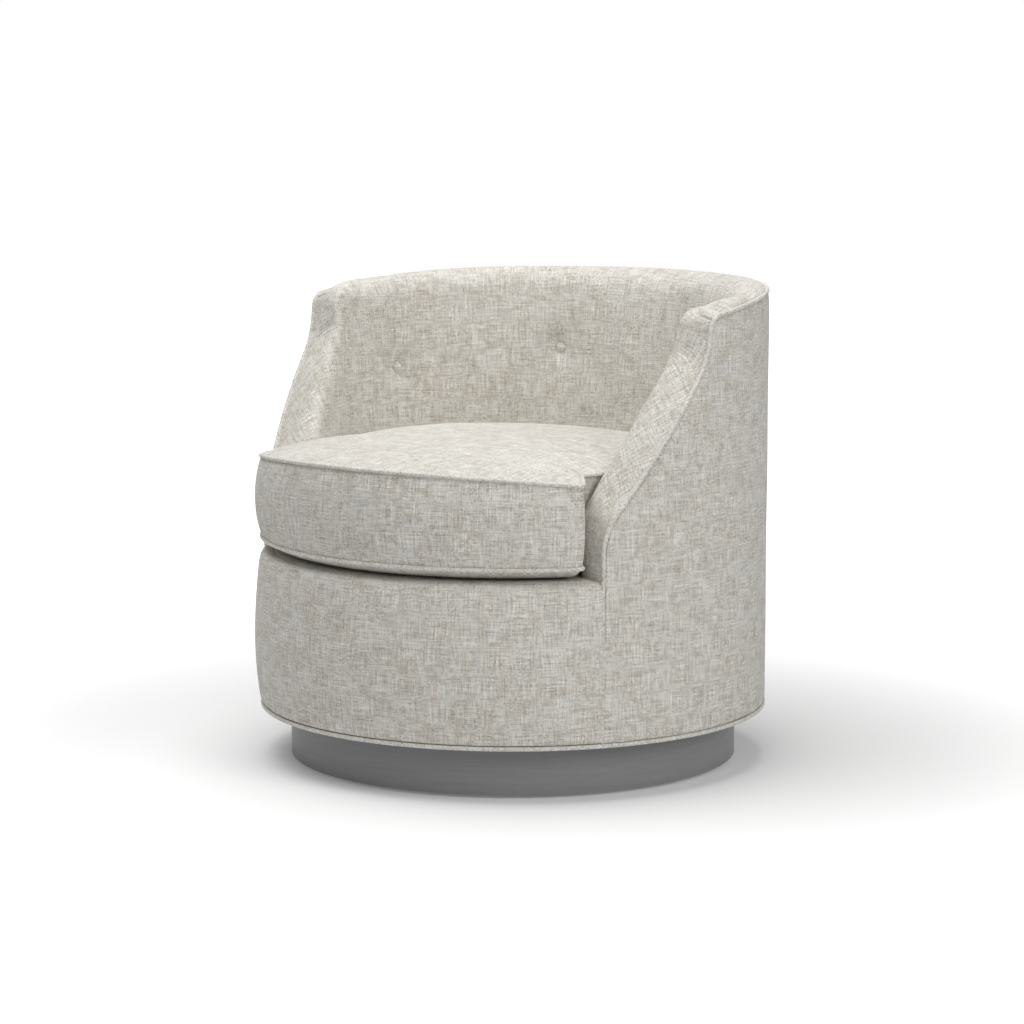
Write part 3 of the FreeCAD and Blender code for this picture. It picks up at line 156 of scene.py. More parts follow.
def wooden(name, place_group, pale, deep_tone, along, across, roughness, lift):
    """A wood finish whose grain follows the given places."""
    finish, tree, shader = new_finish(name)
    if place_group:
        place = put(tree, "ShaderNodeGroup", node_tree=place_group).outputs["Place"]
    else:
        place = own_place(tree)
    wood = put(tree, "ShaderNodeGroup", {"Place": place, "Pale": (*pale, 1), "Deep": (*deep_tone, 1),
                                         "Along": along, "Across": across}, node_tree=grain)
    tree.links.new(wood.outputs["Color"], shader.inputs["Base Color"])
    rough = put(tree, "ShaderNodeMapRange", {"Value": wood.outputs["Fibre"], "To Min": roughness - 0.08,
                                             "To Max": roughness + 0.08})
    tree.links.new(rough.outputs[0], shader.inputs["Roughness"])
    relief(tree, shader, wood.outputs["Height"], lift)
    return finish


wear(wooden("grey_painted_ply", wrap, (0.262, 0.262, 0.266), (0.222, 0.222, 0.226), 7.0, 170.0, 0.5, 0.0003),
     "plinth_ring")
birch = wooden("birch_ply", None, (0.62, 0.46, 0.28), (0.42, 0.27, 0.14), 9.0, 90.0, 0.62, 0.0003)
wear(birch, "plinth_blocks", "plinth_board")


# The swivel is two zinc-plated plates pressed from sheet steel, with polished balls between their races.
# A hollow rivet keeps them together; wood screws hold the lower plate and bolts the upper one.

plating, entry, leave = new_group(
    "plated_steel", [("Bright", "Color", (1, 1, 1, 1)), ("Dull", "Color", (0, 0, 0, 1))],
    [("Color", "Color"), ("Roughness", "Float"), ("Height", "Float")])
place = own_place(plating)
spangle = put(plating, "ShaderNodeTexVoronoi", {"Vector": place, "Scale": 160.0})
cloudy = put(plating, "ShaderNodeTexNoise", {"Vector": place, "Scale": 45.0, "Detail": 4.0})
blend = maths(plating, "MULTIPLY", spangle.outputs["Color"], cloudy.outputs["Fac"])
tint = put(plating, "ShaderNodeMix", {0: blend, 6: entry["Dull"], 7: entry["Bright"]}, data_type="RGBA")
rough = put(plating, "ShaderNodeMapRange", {"Value": cloudy.outputs["Fac"], "To Min": 0.22, "To Max": 0.48})
plating.links.new(tint.outputs[2], leave["Color"])
plating.links.new(rough.outputs[0], leave["Roughness"])
plating.links.new(cloudy.outputs["Fac"], leave["Height"])


def plated(name, bright, dull):
    """A plated or oiled metal finish between two tones."""
    finish, tree, shader = new_finish(name, Metallic=1.0)
    coat = put(tree, "ShaderNodeGroup", {"Bright": (*bright, 1), "Dull": (*dull, 1)}, node_tree=plating)
    tree.links.new(coat.outputs["Color"], shader.inputs["Base Color"])
    tree.links.new(coat.outputs["Roughness"], shader.inputs["Roughness"])
    relief(tree, shader, coat.outputs["Height"], 0.0002, 0.4)
    return finish


wear(plated("zinc_plate", (0.72, 0.73, 0.75), (0.42, 0.43, 0.45)), "lower_swivel_plate", "upper_swivel_plate",
     "centre_rivet", "plate_screws", "plate_bolts", "spring_clips")
wear(plated("bearing_steel", (0.8, 0.8, 0.81), (0.62, 0.62, 0.63)), "bearing_balls")
wear(plated("oiled_spring_wire", (0.2, 0.2, 0.21), (0.08, 0.08, 0.085)), "seat_springs")


# The seat frame is birch plywood, raw inside the covers: boards, bent hoops, studs and arm panels.
# A lining board of grey-brown fibre backs the padding, and twine holds the buttons through it.

wear(birch, "base_board", "lower_hoop", "lower_studs", "seat_rail", "upper_studs", "arm_panel_right",
     "arm_panel_left", "top_rail")
wear(wooden("lining_board", wrap, (0.42, 0.33, 0.23), (0.3, 0.23, 0.16), 60.0, 70.0, 0.85, 0.0002), "back_liner")
wear(wooden("waxed_twine", None, (0.72, 0.66, 0.54), (0.5, 0.44, 0.34), 900.0, 900.0, 0.7, 0.0004),
     "button_ties")


# The cloth under the seat is black non-woven polypropylene, stapled to the base board round the swivel.
# It is drawn flat. The staples are thin wire and lie near both of its edges.

def set_up(name, data):
    """Puts a mesh, a lamp or a camera into the scene."""
    piece = bpy.data.objects.new(name, data)
    bpy.context.scene.collection.objects.link(piece)
    return piece


def grid_piece(name, points, places=None, thickness=0.0):
    """Quads through a grid of points, with each point's place on its cloth in metres."""
    points = np.asarray(points, float)
    rows, columns = points.shape[:2]
    index = np.arange(rows * columns).reshape(rows, columns)
    quads = np.stack([index[:-1, :-1], index[1:, :-1], index[1:, 1:], index[:-1, 1:]], -1).reshape(-1, 4)
    mesh = bpy.data.meshes.new(name)
    mesh.from_pydata(points.reshape(-1, 3).tolist(), [], quads.tolist())
    if places is not None:
        layer = mesh.uv_layers.new(name="cloth")
        loops = np.zeros(len(mesh.loops), int)
        mesh.loops.foreach_get("vertex_index", loops)
        layer.data.foreach_set("uv", np.asarray(places, float).reshape(-1, 2)[loops].ravel())
    mesh.shade_smooth()
    piece = set_up(name, mesh)
    if thickness:
        shell = piece.modifiers.new("thickness", "SOLIDIFY")
        shell.thickness = thickness
        shell.offset = -1.0
    return piece


def tidy_mesh(piece, outward=True):
    """Joins points that lie together and turns every face outward."""
    work = bmesh.new()
    work.from_mesh(piece.data)
    bmesh.ops.remove_doubles(work, verts=work.verts, dist=1e-5)
    bmesh.ops.dissolve_degenerate(work, edges=work.edges, dist=1e-6)
    if outward:
        bmesh.ops.recalc_face_normals(work, faces=work.faces)
    work.to_mesh(piece.data)
    work.free()
    piece.data.shade_smooth()
    return piece


def at_angle(angle, radius, height):
    """Points at angles from the front, in radians, and radii from the turning axis."""
    angle, radius, height = np.broadcast_arrays(angle, radius, height)
    return np.stack([radius * np.sin(angle), -radius * np.cos(angle), height], -1)


dust_low, dust_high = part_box("dust_cover")
DUST_OUTSIDE = dust_high.x
DUST_INSIDE = 0.225
DUST_SAG = 0.0004
turns = np.linspace(0, 2 * math.pi, 97)
reach = np.linspace(DUST_INSIDE, DUST_OUTSIDE, 9)
sag = DUST_SAG * np.sin(np.linspace(0, math.pi, 9))
ring = at_angle(turns[None, :], reach[:, None], dust_high.z - sag[:, None])
dust_cloth = tidy_mesh(grid_piece("dust_cloth", ring, ring[..., :2], 0.0008))

nonwoven, tree, shader = new_finish("black_nonwoven", Roughness=0.9)
place = own_place(tree)
fibres = put(tree, "ShaderNodeTexNoise", {"Vector": place, "Scale": 500.0, "Detail": 6.0, "Distortion": 2.0})
dots = put(tree, "ShaderNodeTexVoronoi", {"Vector": place, "Scale": 420.0})
two_tone(tree, shader, fibres.outputs["Fac"], (0.008, 0.008, 0.009), (0.04, 0.04, 0.042))
relief(tree, shader, dots.outputs["Distance"], 0.0003, 0.6)
dust_cloth.data.materials.append(nonwoven)


def block_piece(name, points):
    """A piece of small blocks, each given by the four corners of one end and the same four of the other."""
    sides = ((0, 3, 2, 1), (4, 5, 6, 7), (0, 1, 5, 4), (1, 2, 6, 5), (2, 3, 7, 6), (3, 0, 4, 7))
    faces = [[first + corner for corner in corners] for first in range(0, len(points), 8) for corners in sides]
    mesh = bpy.data.meshes.new(name)
    mesh.from_pydata([tuple(point) for point in points], [], faces)
    return set_up(name, mesh)


STAPLE_COUNT = 28
STAPLE_INSET = 0.008
STAPLE_HALF = 0.005
STAPLE_WIRE = 0.0005
staple_points = []
for step in range(STAPLE_COUNT * 2):
    radius = DUST_OUTSIDE - STAPLE_INSET if step % 2 else DUST_INSIDE + STAPLE_INSET
    angle = 2 * math.pi * (step // 2) / STAPLE_COUNT
    middle = at_angle(angle, radius, dust_low.z - 0.0002)
    along = np.array([math.cos(angle), math.sin(angle), 0]) * STAPLE_HALF
    outward = np.array([math.sin(angle), -math.cos(angle), 0]) * STAPLE_WIRE
    for height in (-0.0003, 0.0004):
        for side, deep in ((-1, -1), (-1, 1), (1, 1), (1, -1)):
            staple_points.append(middle + along * side + outward * deep + [0, 0, height])
staples = block_piece("staples", staple_points)
staples.data.materials.append(bpy.data.materials["zinc_plate"])

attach(dust_cloth, "seat")
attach(staples, "seat")
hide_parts("dust_cover")


# Burlap is stretched over the springs, a coarse open weave of brown jute.
# It lies between the springs and the deck pad, and its edge is tacked inside the seat rail.

burlap_low, burlap_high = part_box("burlap")
reach = np.linspace(0.0, burlap_high.x - 0.001, 24)
disc = at_angle(turns[None, :], reach[:, None], burlap_low.z + 0.0005)
jute_cloth = tidy_mesh(grid_piece("jute_cloth", disc, disc[..., :2], 0.0005))


def cloth_place(tree):
    """Places on the flat cloth, in metres."""
    return put(tree, "ShaderNodeUVMap", uv_map="cloth").outputs["UV"]


jute, tree, shader = new_finish("brown_jute", Roughness=0.95)
strands = {"Vector": cloth_place(tree), "Scale": 130.0, "Distortion": 1.2, "Detail": 2.0}
warp, weft = (put(tree, "ShaderNodeTexWave", strands, bands_direction=way).outputs["Fac"] for way in "XY")
weave = maths(tree, "MAXIMUM", warp, weft)
two_tone(tree, shader, weave, (0.09, 0.055, 0.025), (0.38, 0.27, 0.15))
relief(tree, shader, weave, 0.0006)
jute_cloth.data.materials.append(jute)
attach(jute_cloth, "seat")
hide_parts("burlap")


# The upholstery is a slubby cross-dyed linen: pale grey yarns, off-white slubs and broken tan flecks.
# Threads run across and upright on every panel, and a fine twill lies under them.

linen, entry, leave = new_group(
    "slub_linen",
    [("Place", "Vector", None), ("Ground", "Color", (0.5, 0.5, 0.5, 1)), ("Slub", "Color", (0.8, 0.8, 0.8, 1)),
     ("Fleck", "Color", (0.3, 0.2, 0.1, 1)), ("Fleck share", "Float", 1.0)],
    [("Color", "Color"), ("Height", "Float"), ("Roughness", "Float")])


def threads(place, across, upright, detail, seed):
    """Noise drawn out along one thread direction."""
    stretched = put(linen, "ShaderNodeVectorMath", {0: place, 1: (across, upright, 1.0)}, operation="MULTIPLY")
    shifted = put(linen, "ShaderNodeVectorMath", {0: stretched.outputs[0], 1: (seed, seed * 0.7, seed * 1.3)})
    return put(linen, "ShaderNodeTexNoise", {"Vector": shifted.outputs[0], "Scale": 1.0, "Detail": detail,
                                             "Roughness": 0.55}).outputs["Fac"]


def between(value, low, high):
    """Nothing below low, all above high."""
    return put(linen, "ShaderNodeMapRange", {"Value": value, "From Min": low, "From Max": high},
               interpolation_type="SMOOTHSTEP").outputs[0]


def sum_of(operation, first, second):
    """The outcome of a sum inside the linen."""
    return maths(linen, operation, first, second)


def waves(value, length):
    """A sine along a value, with the given wave length in metres."""
    return maths(linen, "SINE", sum_of("MULTIPLY", value, 2 * math.pi / length))


YARN_DRIFT = 0.0045
drift = put(linen, "ShaderNodeTexNoise", {"Vector": entry["Place"], "Scale": 38.0, "Detail": 2.0})
centred = put(linen, "ShaderNodeVectorMath", {0: drift.outputs["Color"], 1: (0.5, 0.5, 0.5)},
              operation="SUBTRACT")
small = put(linen, "ShaderNodeVectorMath", {0: centred.outputs[0], "Scale": YARN_DRIFT}, operation="SCALE")
yarn_place = put(linen, "ShaderNodeVectorMath", {0: entry["Place"], 1: small.outputs[0]}).outputs[0]

upright_yarn = threads(yarn_place, 760.0, 24.0, 2.0, 3.1)
level_yarn = threads(yarn_place, 24.0, 760.0, 2.0, 7.7)
upright_slub = between(threads(yarn_place, 380.0, 17.0, 1.0, 11.3), 0.58, 0.78)
level_slub = between(threads(yarn_place, 17.0, 380.0, 1.0, 17.9), 0.59, 0.79)
patches = between(threads(yarn_place, 24.0, 30.0, 3.0, 23.5), 0.38, 0.64)
level_fleck = between(threads(yarn_place, 130.0, 420.0, 2.0, 29.1), 0.50, 0.68)
upright_fleck = between(threads(yarn_place, 420.0, 140.0, 2.0, 31.7), 0.51, 0.69)
blotches = between(threads(yarn_place, 62.0, 84.0, 3.0, 37.9), 0.46, 0.70)
specks = between(threads(yarn_place, 430.0, 430.0, 1.0, 41.3), 0.56, 0.72)
flecks = sum_of("MULTIPLY", sum_of("MAXIMUM", level_fleck, upright_fleck), patches)
flecks = sum_of("MAXIMUM", sum_of("MULTIPLY", flecks, 0.8), sum_of("MULTIPLY", blotches, 0.52))
fleck_share = sum_of("MULTIPLY", flecks, entry["Fleck share"])
slubs = sum_of("MULTIPLY", sum_of("MAXIMUM", upright_slub, level_slub), 0.30)

parts = put(linen, "ShaderNodeSeparateXYZ", {"Vector": yarn_place})
diagonal = sum_of("ADD", parts.outputs["X"], parts.outputs["Y"])
TWILL_STEP = 0.0036
YARN_STEP = 0.0014
twill = waves(diagonal, TWILL_STEP)
weave = sum_of("MULTIPLY", waves(parts.outputs["X"], YARN_STEP), waves(parts.outputs["Y"], YARN_STEP))

woven = sum_of("ADD", upright_yarn, level_yarn)
tone = put(linen, "ShaderNodeMapRange", {"Value": woven, "From Min": 0.55, "From Max": 1.45,
                                         "To Min": 0.55, "To Max": 1.63}).outputs[0]
tone = sum_of("ADD", tone, sum_of("MULTIPLY", twill, 0.08))
tone = sum_of("SUBTRACT", tone, sum_of("MULTIPLY", specks, 0.46))
flecked = put(linen, "ShaderNodeMix", {0: fleck_share, 6: entry["Ground"], 7: entry["Fleck"]}, data_type="RGBA")
slubbed = put(linen, "ShaderNodeMix", {0: slubs, 6: flecked.outputs[2], 7: entry["Slub"]}, data_type="RGBA")
shaded = put(linen, "ShaderNodeVectorMath", {0: slubbed.outputs[2], "Scale": tone}, operation="SCALE")
linen.links.new(shaded.outputs[0], leave["Color"])
raised = sum_of("ADD", sum_of("MULTIPLY", woven, 0.6), sum_of("MULTIPLY", weave, 0.12))
raised = sum_of("ADD", raised, sum_of("MULTIPLY", slubs, 0.8))
linen.links.new(raised, leave["Height"])
fuzz = put(linen, "ShaderNodeMapRange", {"Value": woven, "To Min": 0.95, "To Max": 0.8}).outputs[0]
linen.links.new(fuzz, leave["Roughness"])

GROUND = (0.600, 0.585, 0.545)
SLUB = (0.80, 0.79, 0.755)
FLECK = (0.355, 0.275, 0.178)


def linen_finish(name, fleck_share=0.75, painted_light=1.0, turn=0.0):
    """Linen with its own share of flecks, its colours scaled by a factor that paints light or shade on it; turn
    swings its threads, in degrees.
    """
    finish, tree, shader = new_finish(name, Sheen_Weight=0.12, Sheen_Roughness=0.6)
    shader.inputs["Specular IOR Level"].default_value = 0.2
    place = cloth_place(tree)
    if turn:
        place = put(tree, "ShaderNodeVectorRotate", {"Vector": place, "Angle": math.radians(turn)},
                    rotation_type="Z_AXIS").outputs[0]
    colours = {"Ground": GROUND, "Slub": SLUB, "Fleck": FLECK}
    inputs = {key: (*(channel * painted_light for channel in value), 1) for key, value in colours.items()}
    cloth = put(tree, "ShaderNodeGroup", {"Place": place, "Fleck share": fleck_share, **inputs},
                node_tree=linen)
    tree.links.new(cloth.outputs["Color"], shader.inputs["Base Color"])
    tree.links.new(cloth.outputs["Roughness"], shader.inputs["Roughness"])
    relief(tree, shader, cloth.outputs["Height"], 0.0007, 0.6)
    return finish


linen_cloth = linen_finish("linen_cloth")
# The piping's bias cloth is the same linen painted 3% lighter, as painted light on the rounded cords.
linen_bias_painted_lighter = linen_finish("linen_bias_painted_lighter", 0.3, 1.03, 45.0)


# The deck is a felt pad on the burlap under the same cloth, where the loose cushion lies.
# It is flat, with a turned edge that tucks behind the inside padding.

deck_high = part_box("deck_pad")[1]
DECK = deck_high.z
reach = [0.0, 0.06, 0.12, 0.18, 0.24, 0.30, 0.34, 0.36, deck_high.x - 0.004, deck_high.x - 0.0008,
         deck_high.x - 0.0004, deck_high.x - 0.0008, deck_high.x - 0.006, 0.2, 0.0]
rise = [0, 0.0, 0, 0, 0, 0, 0, 0, -0.0004, -0.002, -0.0045, -0.007, -0.0088, -0.0088, -0.0088]
plan = at_angle(turns[None, :], np.array(reach)[:, None], DECK + np.array(rise)[:, None])
deck_cloth = tidy_mesh(grid_piece("deck_cloth", plan, plan[..., :2]))
deck_cloth.data.materials.append(linen_cloth)
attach(deck_cloth, "seat")
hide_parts("deck_pad")


# The inside padding lines the arms and the back and rolls over the rim to the piping.
# It is cut wide, drawn down by four buttons, and folded once on top of each arm where the rim begins.

BODY = 0.400
ARM_SEAM = [(-0.212, 0.0888), (-0.212, 0.404), (-0.033, 0.644), (-0.022, 0.711)]
ARM_BENDS = [0.115, 0.115, 0.024]
RIM_BACK = (0.400, 0.741)
RIM_BOW = 0.0075
PAD_BOTTOM = 0.3303


def length_along(line):
    """How far along a line each of its points lies."""
    return np.concatenate([[0], np.cumsum(np.linalg.norm(np.diff(line, axis=0), axis=1))])


def at_lengths(line, wanted):
    """Points of a line at the wanted lengths along it."""
    gone = length_along(line)
    return np.stack([np.interp(wanted, gone, line[:, axis]) for axis in range(line.shape[1])], 1)


def rounded_line(corners, radii, step):
    """Even points along straight runs with rounded corners between them."""
    corners = [np.array(corner, float) for corner in corners]
    line = [corners[0]]
    for index, radius in enumerate(radii, start=1):
        here = corners[index]
        before = (corners[index - 1] - here) / np.linalg.norm(corners[index - 1] - here)
        after = (corners[index + 1] - here) / np.linalg.norm(corners[index + 1] - here)
        half = math.acos(float(before @ after)) / 2
        middle = here + (before + after) / np.linalg.norm(before + after) * radius / math.sin(half)
        start = here + before * radius / math.tan(half) - middle
        end = here + after * radius / math.tan(half) - middle
        for share in np.linspace(0, 1, 25):
            spoke = start * math.sin((1 - share) * (math.pi - 2 * half))
            spoke = spoke + end * math.sin(share * (math.pi - 2 * half))
            line.append(middle + spoke / math.sin(math.pi - 2 * half))
    line += corners[len(radii) + 1:]
    line = np.array(line)
    whole = length_along(line)[-1]
    return at_lengths(line, np.linspace(0, whole, max(2, round(whole / step)) + 1))


def rim_height(depth):
    """Height of the rim seam at a depth behind the turning axis."""
    share = (depth - ARM_SEAM[-1][0]) / (RIM_BACK[0] - ARM_SEAM[-1][0])
    return ARM_SEAM[-1][1] + share * (RIM_BACK[1] - ARM_SEAM[-1][1]) + 4 * RIM_BOW * share * (1 - share)


SEAM_STEP = 0.0004
arm_seam = rounded_line(ARM_SEAM + [(0.020, rim_height(0.020))], ARM_BENDS, SEAM_STEP)
arm_turns = np.arccos(-arm_seam[:, 0] / BODY)
rim_turns = np.linspace(arm_turns[-1], math.pi, 400)[1:]
half_seam = np.concatenate([np.stack([arm_turns, arm_seam[:, 1]], -1),
                            np.stack([rim_turns, rim_height(-BODY * np.cos(rim_turns))], -1)])
front_angle = half_seam[0, 0]
fine_run = length_along(half_seam * [BODY, 1])
corner_run = fine_run[np.argmin(np.hypot(half_seam[:, 0] - math.acos(0.022 / BODY), half_seam[:, 1] - 0.711))]
bottom_run = np.interp(PAD_BOTTOM, half_seam[:300, 1], fine_run[:300])


def on_seam(run):
    """Angle and height of the seam at a length along it."""
    return np.stack([np.interp(run, fine_run, half_seam[:, axis]) for axis in (0, 1)], -1)


def proud_of(runs):
    """Directions straight out of the seam, over the drum, at lengths along it."""
    along = on_seam(runs + 0.004) - on_seam(runs - 0.004)
    along[:, 0] *= BODY
    along = along / np.linalg.norm(along, axis=1, keepdims=True)
    return np.stack([-along[:, 1], along[:, 0]], -1)


seam_runs = [bottom_run]
while seam_runs[-1] < fine_run[-1]:
    from_corner = abs(seam_runs[-1] - corner_run)
    seam_runs.append(seam_runs[-1] + 0.0013 + 0.0034 * min(1.0, (from_corner / 0.045) ** 2))
seam_runs = np.array(seam_runs)
seam_runs = bottom_run + (seam_runs - bottom_run) * (fine_run[-1] - bottom_run) / (seam_runs[-1] - bottom_run)
seam = on_seam(seam_runs)
proud = proud_of(seam_runs)

ARM_INSIDE = 0.322
BACK_INSIDE = 0.290
BUTTON_ANGLES = np.radians(180 + 48.5 * np.array([-1.5, -0.5, 0.5, 1.5]))
BUTTON_HEIGHTS = np.array([0.587, 0.616, 0.616, 0.587])
TUFT_DEPTH = 0.009
TUFT_SPREAD = 0.034
PINCH_DEPTH = 0.0058
PINCH_SPREAD = 0.0135
CREASE_DEPTH = 0.0013
BELLY = 0.0035
BACK_LEAN = 0.034
ROLL_EDGE = 0.3942
ROLL_DROP = 0.026
CLOTH_REACH = 0.33


def eased(value):
    """Nothing below nought, one above one, with a soft start and stop between them."""
    value = np.clip(value, 0, 1)
    return value * value * (3 - 2 * value)


rim_share = eased((seam_runs - corner_run + 0.012) / 0.085)
top_edge = seam - proud * ROLL_DROP * rim_share[:, None] / [BODY, 1]


def inside_radius(angle):
    """The padding's inner face at its foot: round at the arms and flatter at the back."""
    backward = np.clip(-np.cos(angle), 0, None)
    return 1 / np.hypot(np.where(backward > 0, np.sin(angle), 1.0) / ARM_INSIDE, backward / BACK_INSIDE)


def wall_radius(angle, height):
    """The padding's inner face, with its lean, belly and button dimples."""
    angle = np.minimum(angle, 2 * np.pi - angle)
    top = np.interp(angle, top_edge[:, 0], top_edge[:, 1])
    share = np.clip((height - PAD_BOTTOM) / np.maximum(top - PAD_BOTTOM, 0.02), 0, 1)
    backward = np.clip(-np.cos(angle), 0, None)
    lean = np.interp(top, [0.56, 0.65, 0.70], [-0.001, 0.0075, 0.018])
    lean = lean + (BACK_LEAN - lean) * backward
    wall = inside_radius(angle) + lean * share ** 1.6 - BELLY * np.sin(np.pi * share)
    soft = 0.0009 * np.sin(angle * 13 + height * 9) * np.sin(height * 21 + angle * 3.3) * np.sin(np.pi * share)
    wall = wall + soft
    for button_angle, button_height in zip(BUTTON_ANGLES[:2], BUTTON_HEIGHTS[:2]):
        across = (angle - button_angle) * BACK_INSIDE
        above = height - button_height
        away = np.hypot(across, above)
        wall = wall + TUFT_DEPTH * np.exp(-(away / TUFT_SPREAD) ** 2)
        wall = wall + PINCH_DEPTH * np.exp(-(away / PINCH_SPREAD) ** 2)
        crease = np.exp(-((above - 0.017 - 0.25 * np.abs(across)) / 0.0035) ** 2 - (across / 0.022) ** 2)
        wall = wall + CREASE_DEPTH * crease
    return wall


ROLL_STEPS = 26
roll_share = np.linspace(0, 1, ROLL_STEPS)[None, :]
seam_height = seam[:, 1][:, None]
arm_rise = np.interp(seam_height, [0.33, 0.36, 0.40, 0.46, 0.56, 0.65, 0.711],
                     [0.013, 0.0154, 0.021, 0.0285, 0.0245, 0.0150, 0.0118])
width = ROLL_EDGE - wall_radius(top_edge[:, 0], top_edge[:, 1])[:, None]
arm_in = width * (1 - np.cos(np.pi * roll_share)) / 2
arm_out = arm_rise * np.sin(np.pi * roll_share ** 2)


def curve(points, shares):
    """Points on a chain of cubic curves; each curve has three new control points."""
    points = np.array(points, float)
    count = (len(points) - 1) // 3
    which = np.minimum((shares * count).astype(int), count - 1)
    s = (shares * count - which)[:, None]
    a, b, c, d = (points[which * 3 + k] for k in range(4))
    return a * (1 - s) ** 3 + 3 * b * s * (1 - s) ** 2 + 3 * c * s ** 2 * (1 - s) + d * s ** 3


rim_form = curve([(0, 0), (0.0, 0.66), (0.19, 1.0), (0.44, 1.0), (0.70, 1.0), (0.98, -0.75), (1.0, -2.9)],
                 np.linspace(0, 1, ROLL_STEPS))
rim_in = width * rim_form[:, 0][None, :]
past_corner = np.exp(-((seam_runs - corner_run - 0.055) / 0.05) ** 2)[:, None]
rim_out = 0.009 * rim_form[:, 1][None, :] + 0.0045 * past_corner * np.clip(rim_form[:, 1], 0, None)[None, :] ** 2
blend = rim_share[:, None]
roll_in = arm_in + (rim_in - arm_in) * blend
roll_out = arm_out + (rim_out - arm_out) * blend

from_corner = (seam_runs - corner_run)[:, None]
pleat_line = from_corner - 0.002 - 0.10 * roll_in
pleat = np.exp(-(pleat_line / 0.0013) ** 2) * np.clip(1 - ((roll_in - 0.010) / 0.020) ** 2, 0, 1)
lap = np.exp(-((pleat_line - 0.005) / 0.004) ** 2) * np.clip(1 - ((roll_in - 0.010) / 0.024) ** 2, 0, 1)
roll_out = roll_out - 0.0030 * pleat + 0.0012 * lap

roll_angle = seam[:, 0][:, None] + proud[:, :1] * roll_out / BODY
roll_height = seam[:, 1][:, None] + proud[:, 1:] * roll_out
roll_radius = ROLL_EDGE - roll_in
tuck_radius = np.full((len(seam), 1), ROLL_EDGE - 0.0015)
tuck_angle = (seam[:, 0] - proud[:, 0] * 0.005 / BODY)[:, None]
tuck_height = (seam[:, 1] - proud[:, 1] * 0.005)[:, None]

WALL_STEPS = 52
wall_top = np.stack([roll_angle[:, -1], roll_height[:, -1]], -1)
foot_shift = np.interp(seam_runs, [bottom_run, bottom_run + 0.08, bottom_run + 0.25, corner_run,
                                   corner_run + 0.12, corner_run + 0.25], [0, 0.045, 0.065, 0.050, 0.018, 0])
foot = np.stack([wall_top[:, 0] + foot_shift / BODY, np.full(len(seam), PAD_BOTTOM)], -1)
foot[:, 0] = np.maximum.accumulate(np.minimum(foot[:, 0], math.pi))
drop = np.hypot((foot - wall_top)[:, 0] * BODY, (foot - wall_top)[:, 1])[:, None]
wall_share = np.linspace(0, 1, WALL_STEPS + 1)[1:]
leaving = wall_top - proud * drop * 0.33 / [BODY, 1]
arriving = foot + [0, 1] * drop * 0.33
s = wall_share[None, :, None]
wall_place = (wall_top[:, None] * (1 - s) ** 3 + 3 * leaving[:, None] * s * (1 - s) ** 2
              + 3 * arriving[:, None] * s ** 2 * (1 - s) + foot[:, None] * s ** 3)
wall_angle, wall_height = wall_place[..., 0], wall_place[..., 1]
angles = np.concatenate([tuck_angle, roll_angle, wall_angle], 1)
heights = np.concatenate([tuck_height, roll_height, wall_height], 1)
radii = np.concatenate([tuck_radius, roll_radius, wall_radius(wall_angle, wall_height)], 1)
half_pad = at_angle(angles, radii, heights)

over_roll = np.concatenate([np.zeros((len(seam), 1)), np.cumsum(np.linalg.norm(
    np.diff(half_pad[:, :ROLL_STEPS + 1], axis=1), axis=2), axis=1)], 1)
over_roll = over_roll[:, -1:] - over_roll
cloth_top = np.stack([wall_top[:, 0] * CLOTH_REACH, wall_top[:, 1]], -1)
roll_places = cloth_top[:, None] + proud[:, None] * over_roll[..., None]
wall_places = np.stack([wall_angle * CLOTH_REACH, wall_height], -1)
half_places = np.concatenate([roll_places, wall_places], 1)


def whole_round(half, places, shift):
    """Both halves of a piece that is the same left and right, and of its places on the cloth."""
    return (np.concatenate([half[:-1], half[::-1] * [-1, 1, 1]]),
            np.concatenate([places[:-1], places[::-1] * [-1, 1] + [shift, 0]]))


padding, places = whole_round(half_pad, half_places, 2 * math.pi * CLOTH_REACH)
station_count, row_count = padding.shape[:2]
inside_back = grid_piece("inside_back_padding", padding, places)


def points_of(piece, kind="co"):
    """The places of a piece's points, or their normals."""
    found = np.zeros(len(piece.data.vertices) * 3)
    piece.data.vertices.foreach_get(kind, found)
    return found.reshape(-1, 3)


SWELL_FRAMES = 10
CLOTH_STRETCH = 12.0
CLOTH_BEND = 0.6


def swell(piece, held, pressure, limit):
    """Lets the cloth of a piece rise under air pressure from its held points, each by no more than a limit."""
    group = piece.vertex_groups.new(name="held")
    group.add([int(index) for index in held], 1.0, "REPLACE")
    rest = points_of(piece)
    cloth = piece.modifiers.new("cloth", "CLOTH")
    cloth.settings.quality = 3
    cloth.settings.mass = 0.02
    cloth.settings.use_pressure = True
    cloth.settings.uniform_pressure_force = pressure
    cloth.settings.effector_weights.gravity = 0.0
    cloth.settings.vertex_group_mass = "held"
    cloth.settings.tension_stiffness = cloth.settings.compression_stiffness = CLOTH_STRETCH
    cloth.settings.bending_stiffness = CLOTH_BEND
    cloth.collision_settings.use_collision = False
    cloth.point_cache.frame_end = SWELL_FRAMES
    for number in range(1, SWELL_FRAMES + 1):
        bpy.context.scene.frame_set(number)
    move = points_of(piece.evaluated_get(bpy.context.evaluated_depsgraph_get())) - rest
    length = np.linalg.norm(move, axis=1, keepdims=True)
    move = move * (limit * np.tanh(length / limit) / np.maximum(length, 1e-9))
    piece.modifiers.remove(cloth)
    piece.data.vertices.foreach_set("co", (rest + move).ravel())
    piece.vertex_groups.clear()
    bpy.context.scene.frame_set(1)
    piece.data.update()


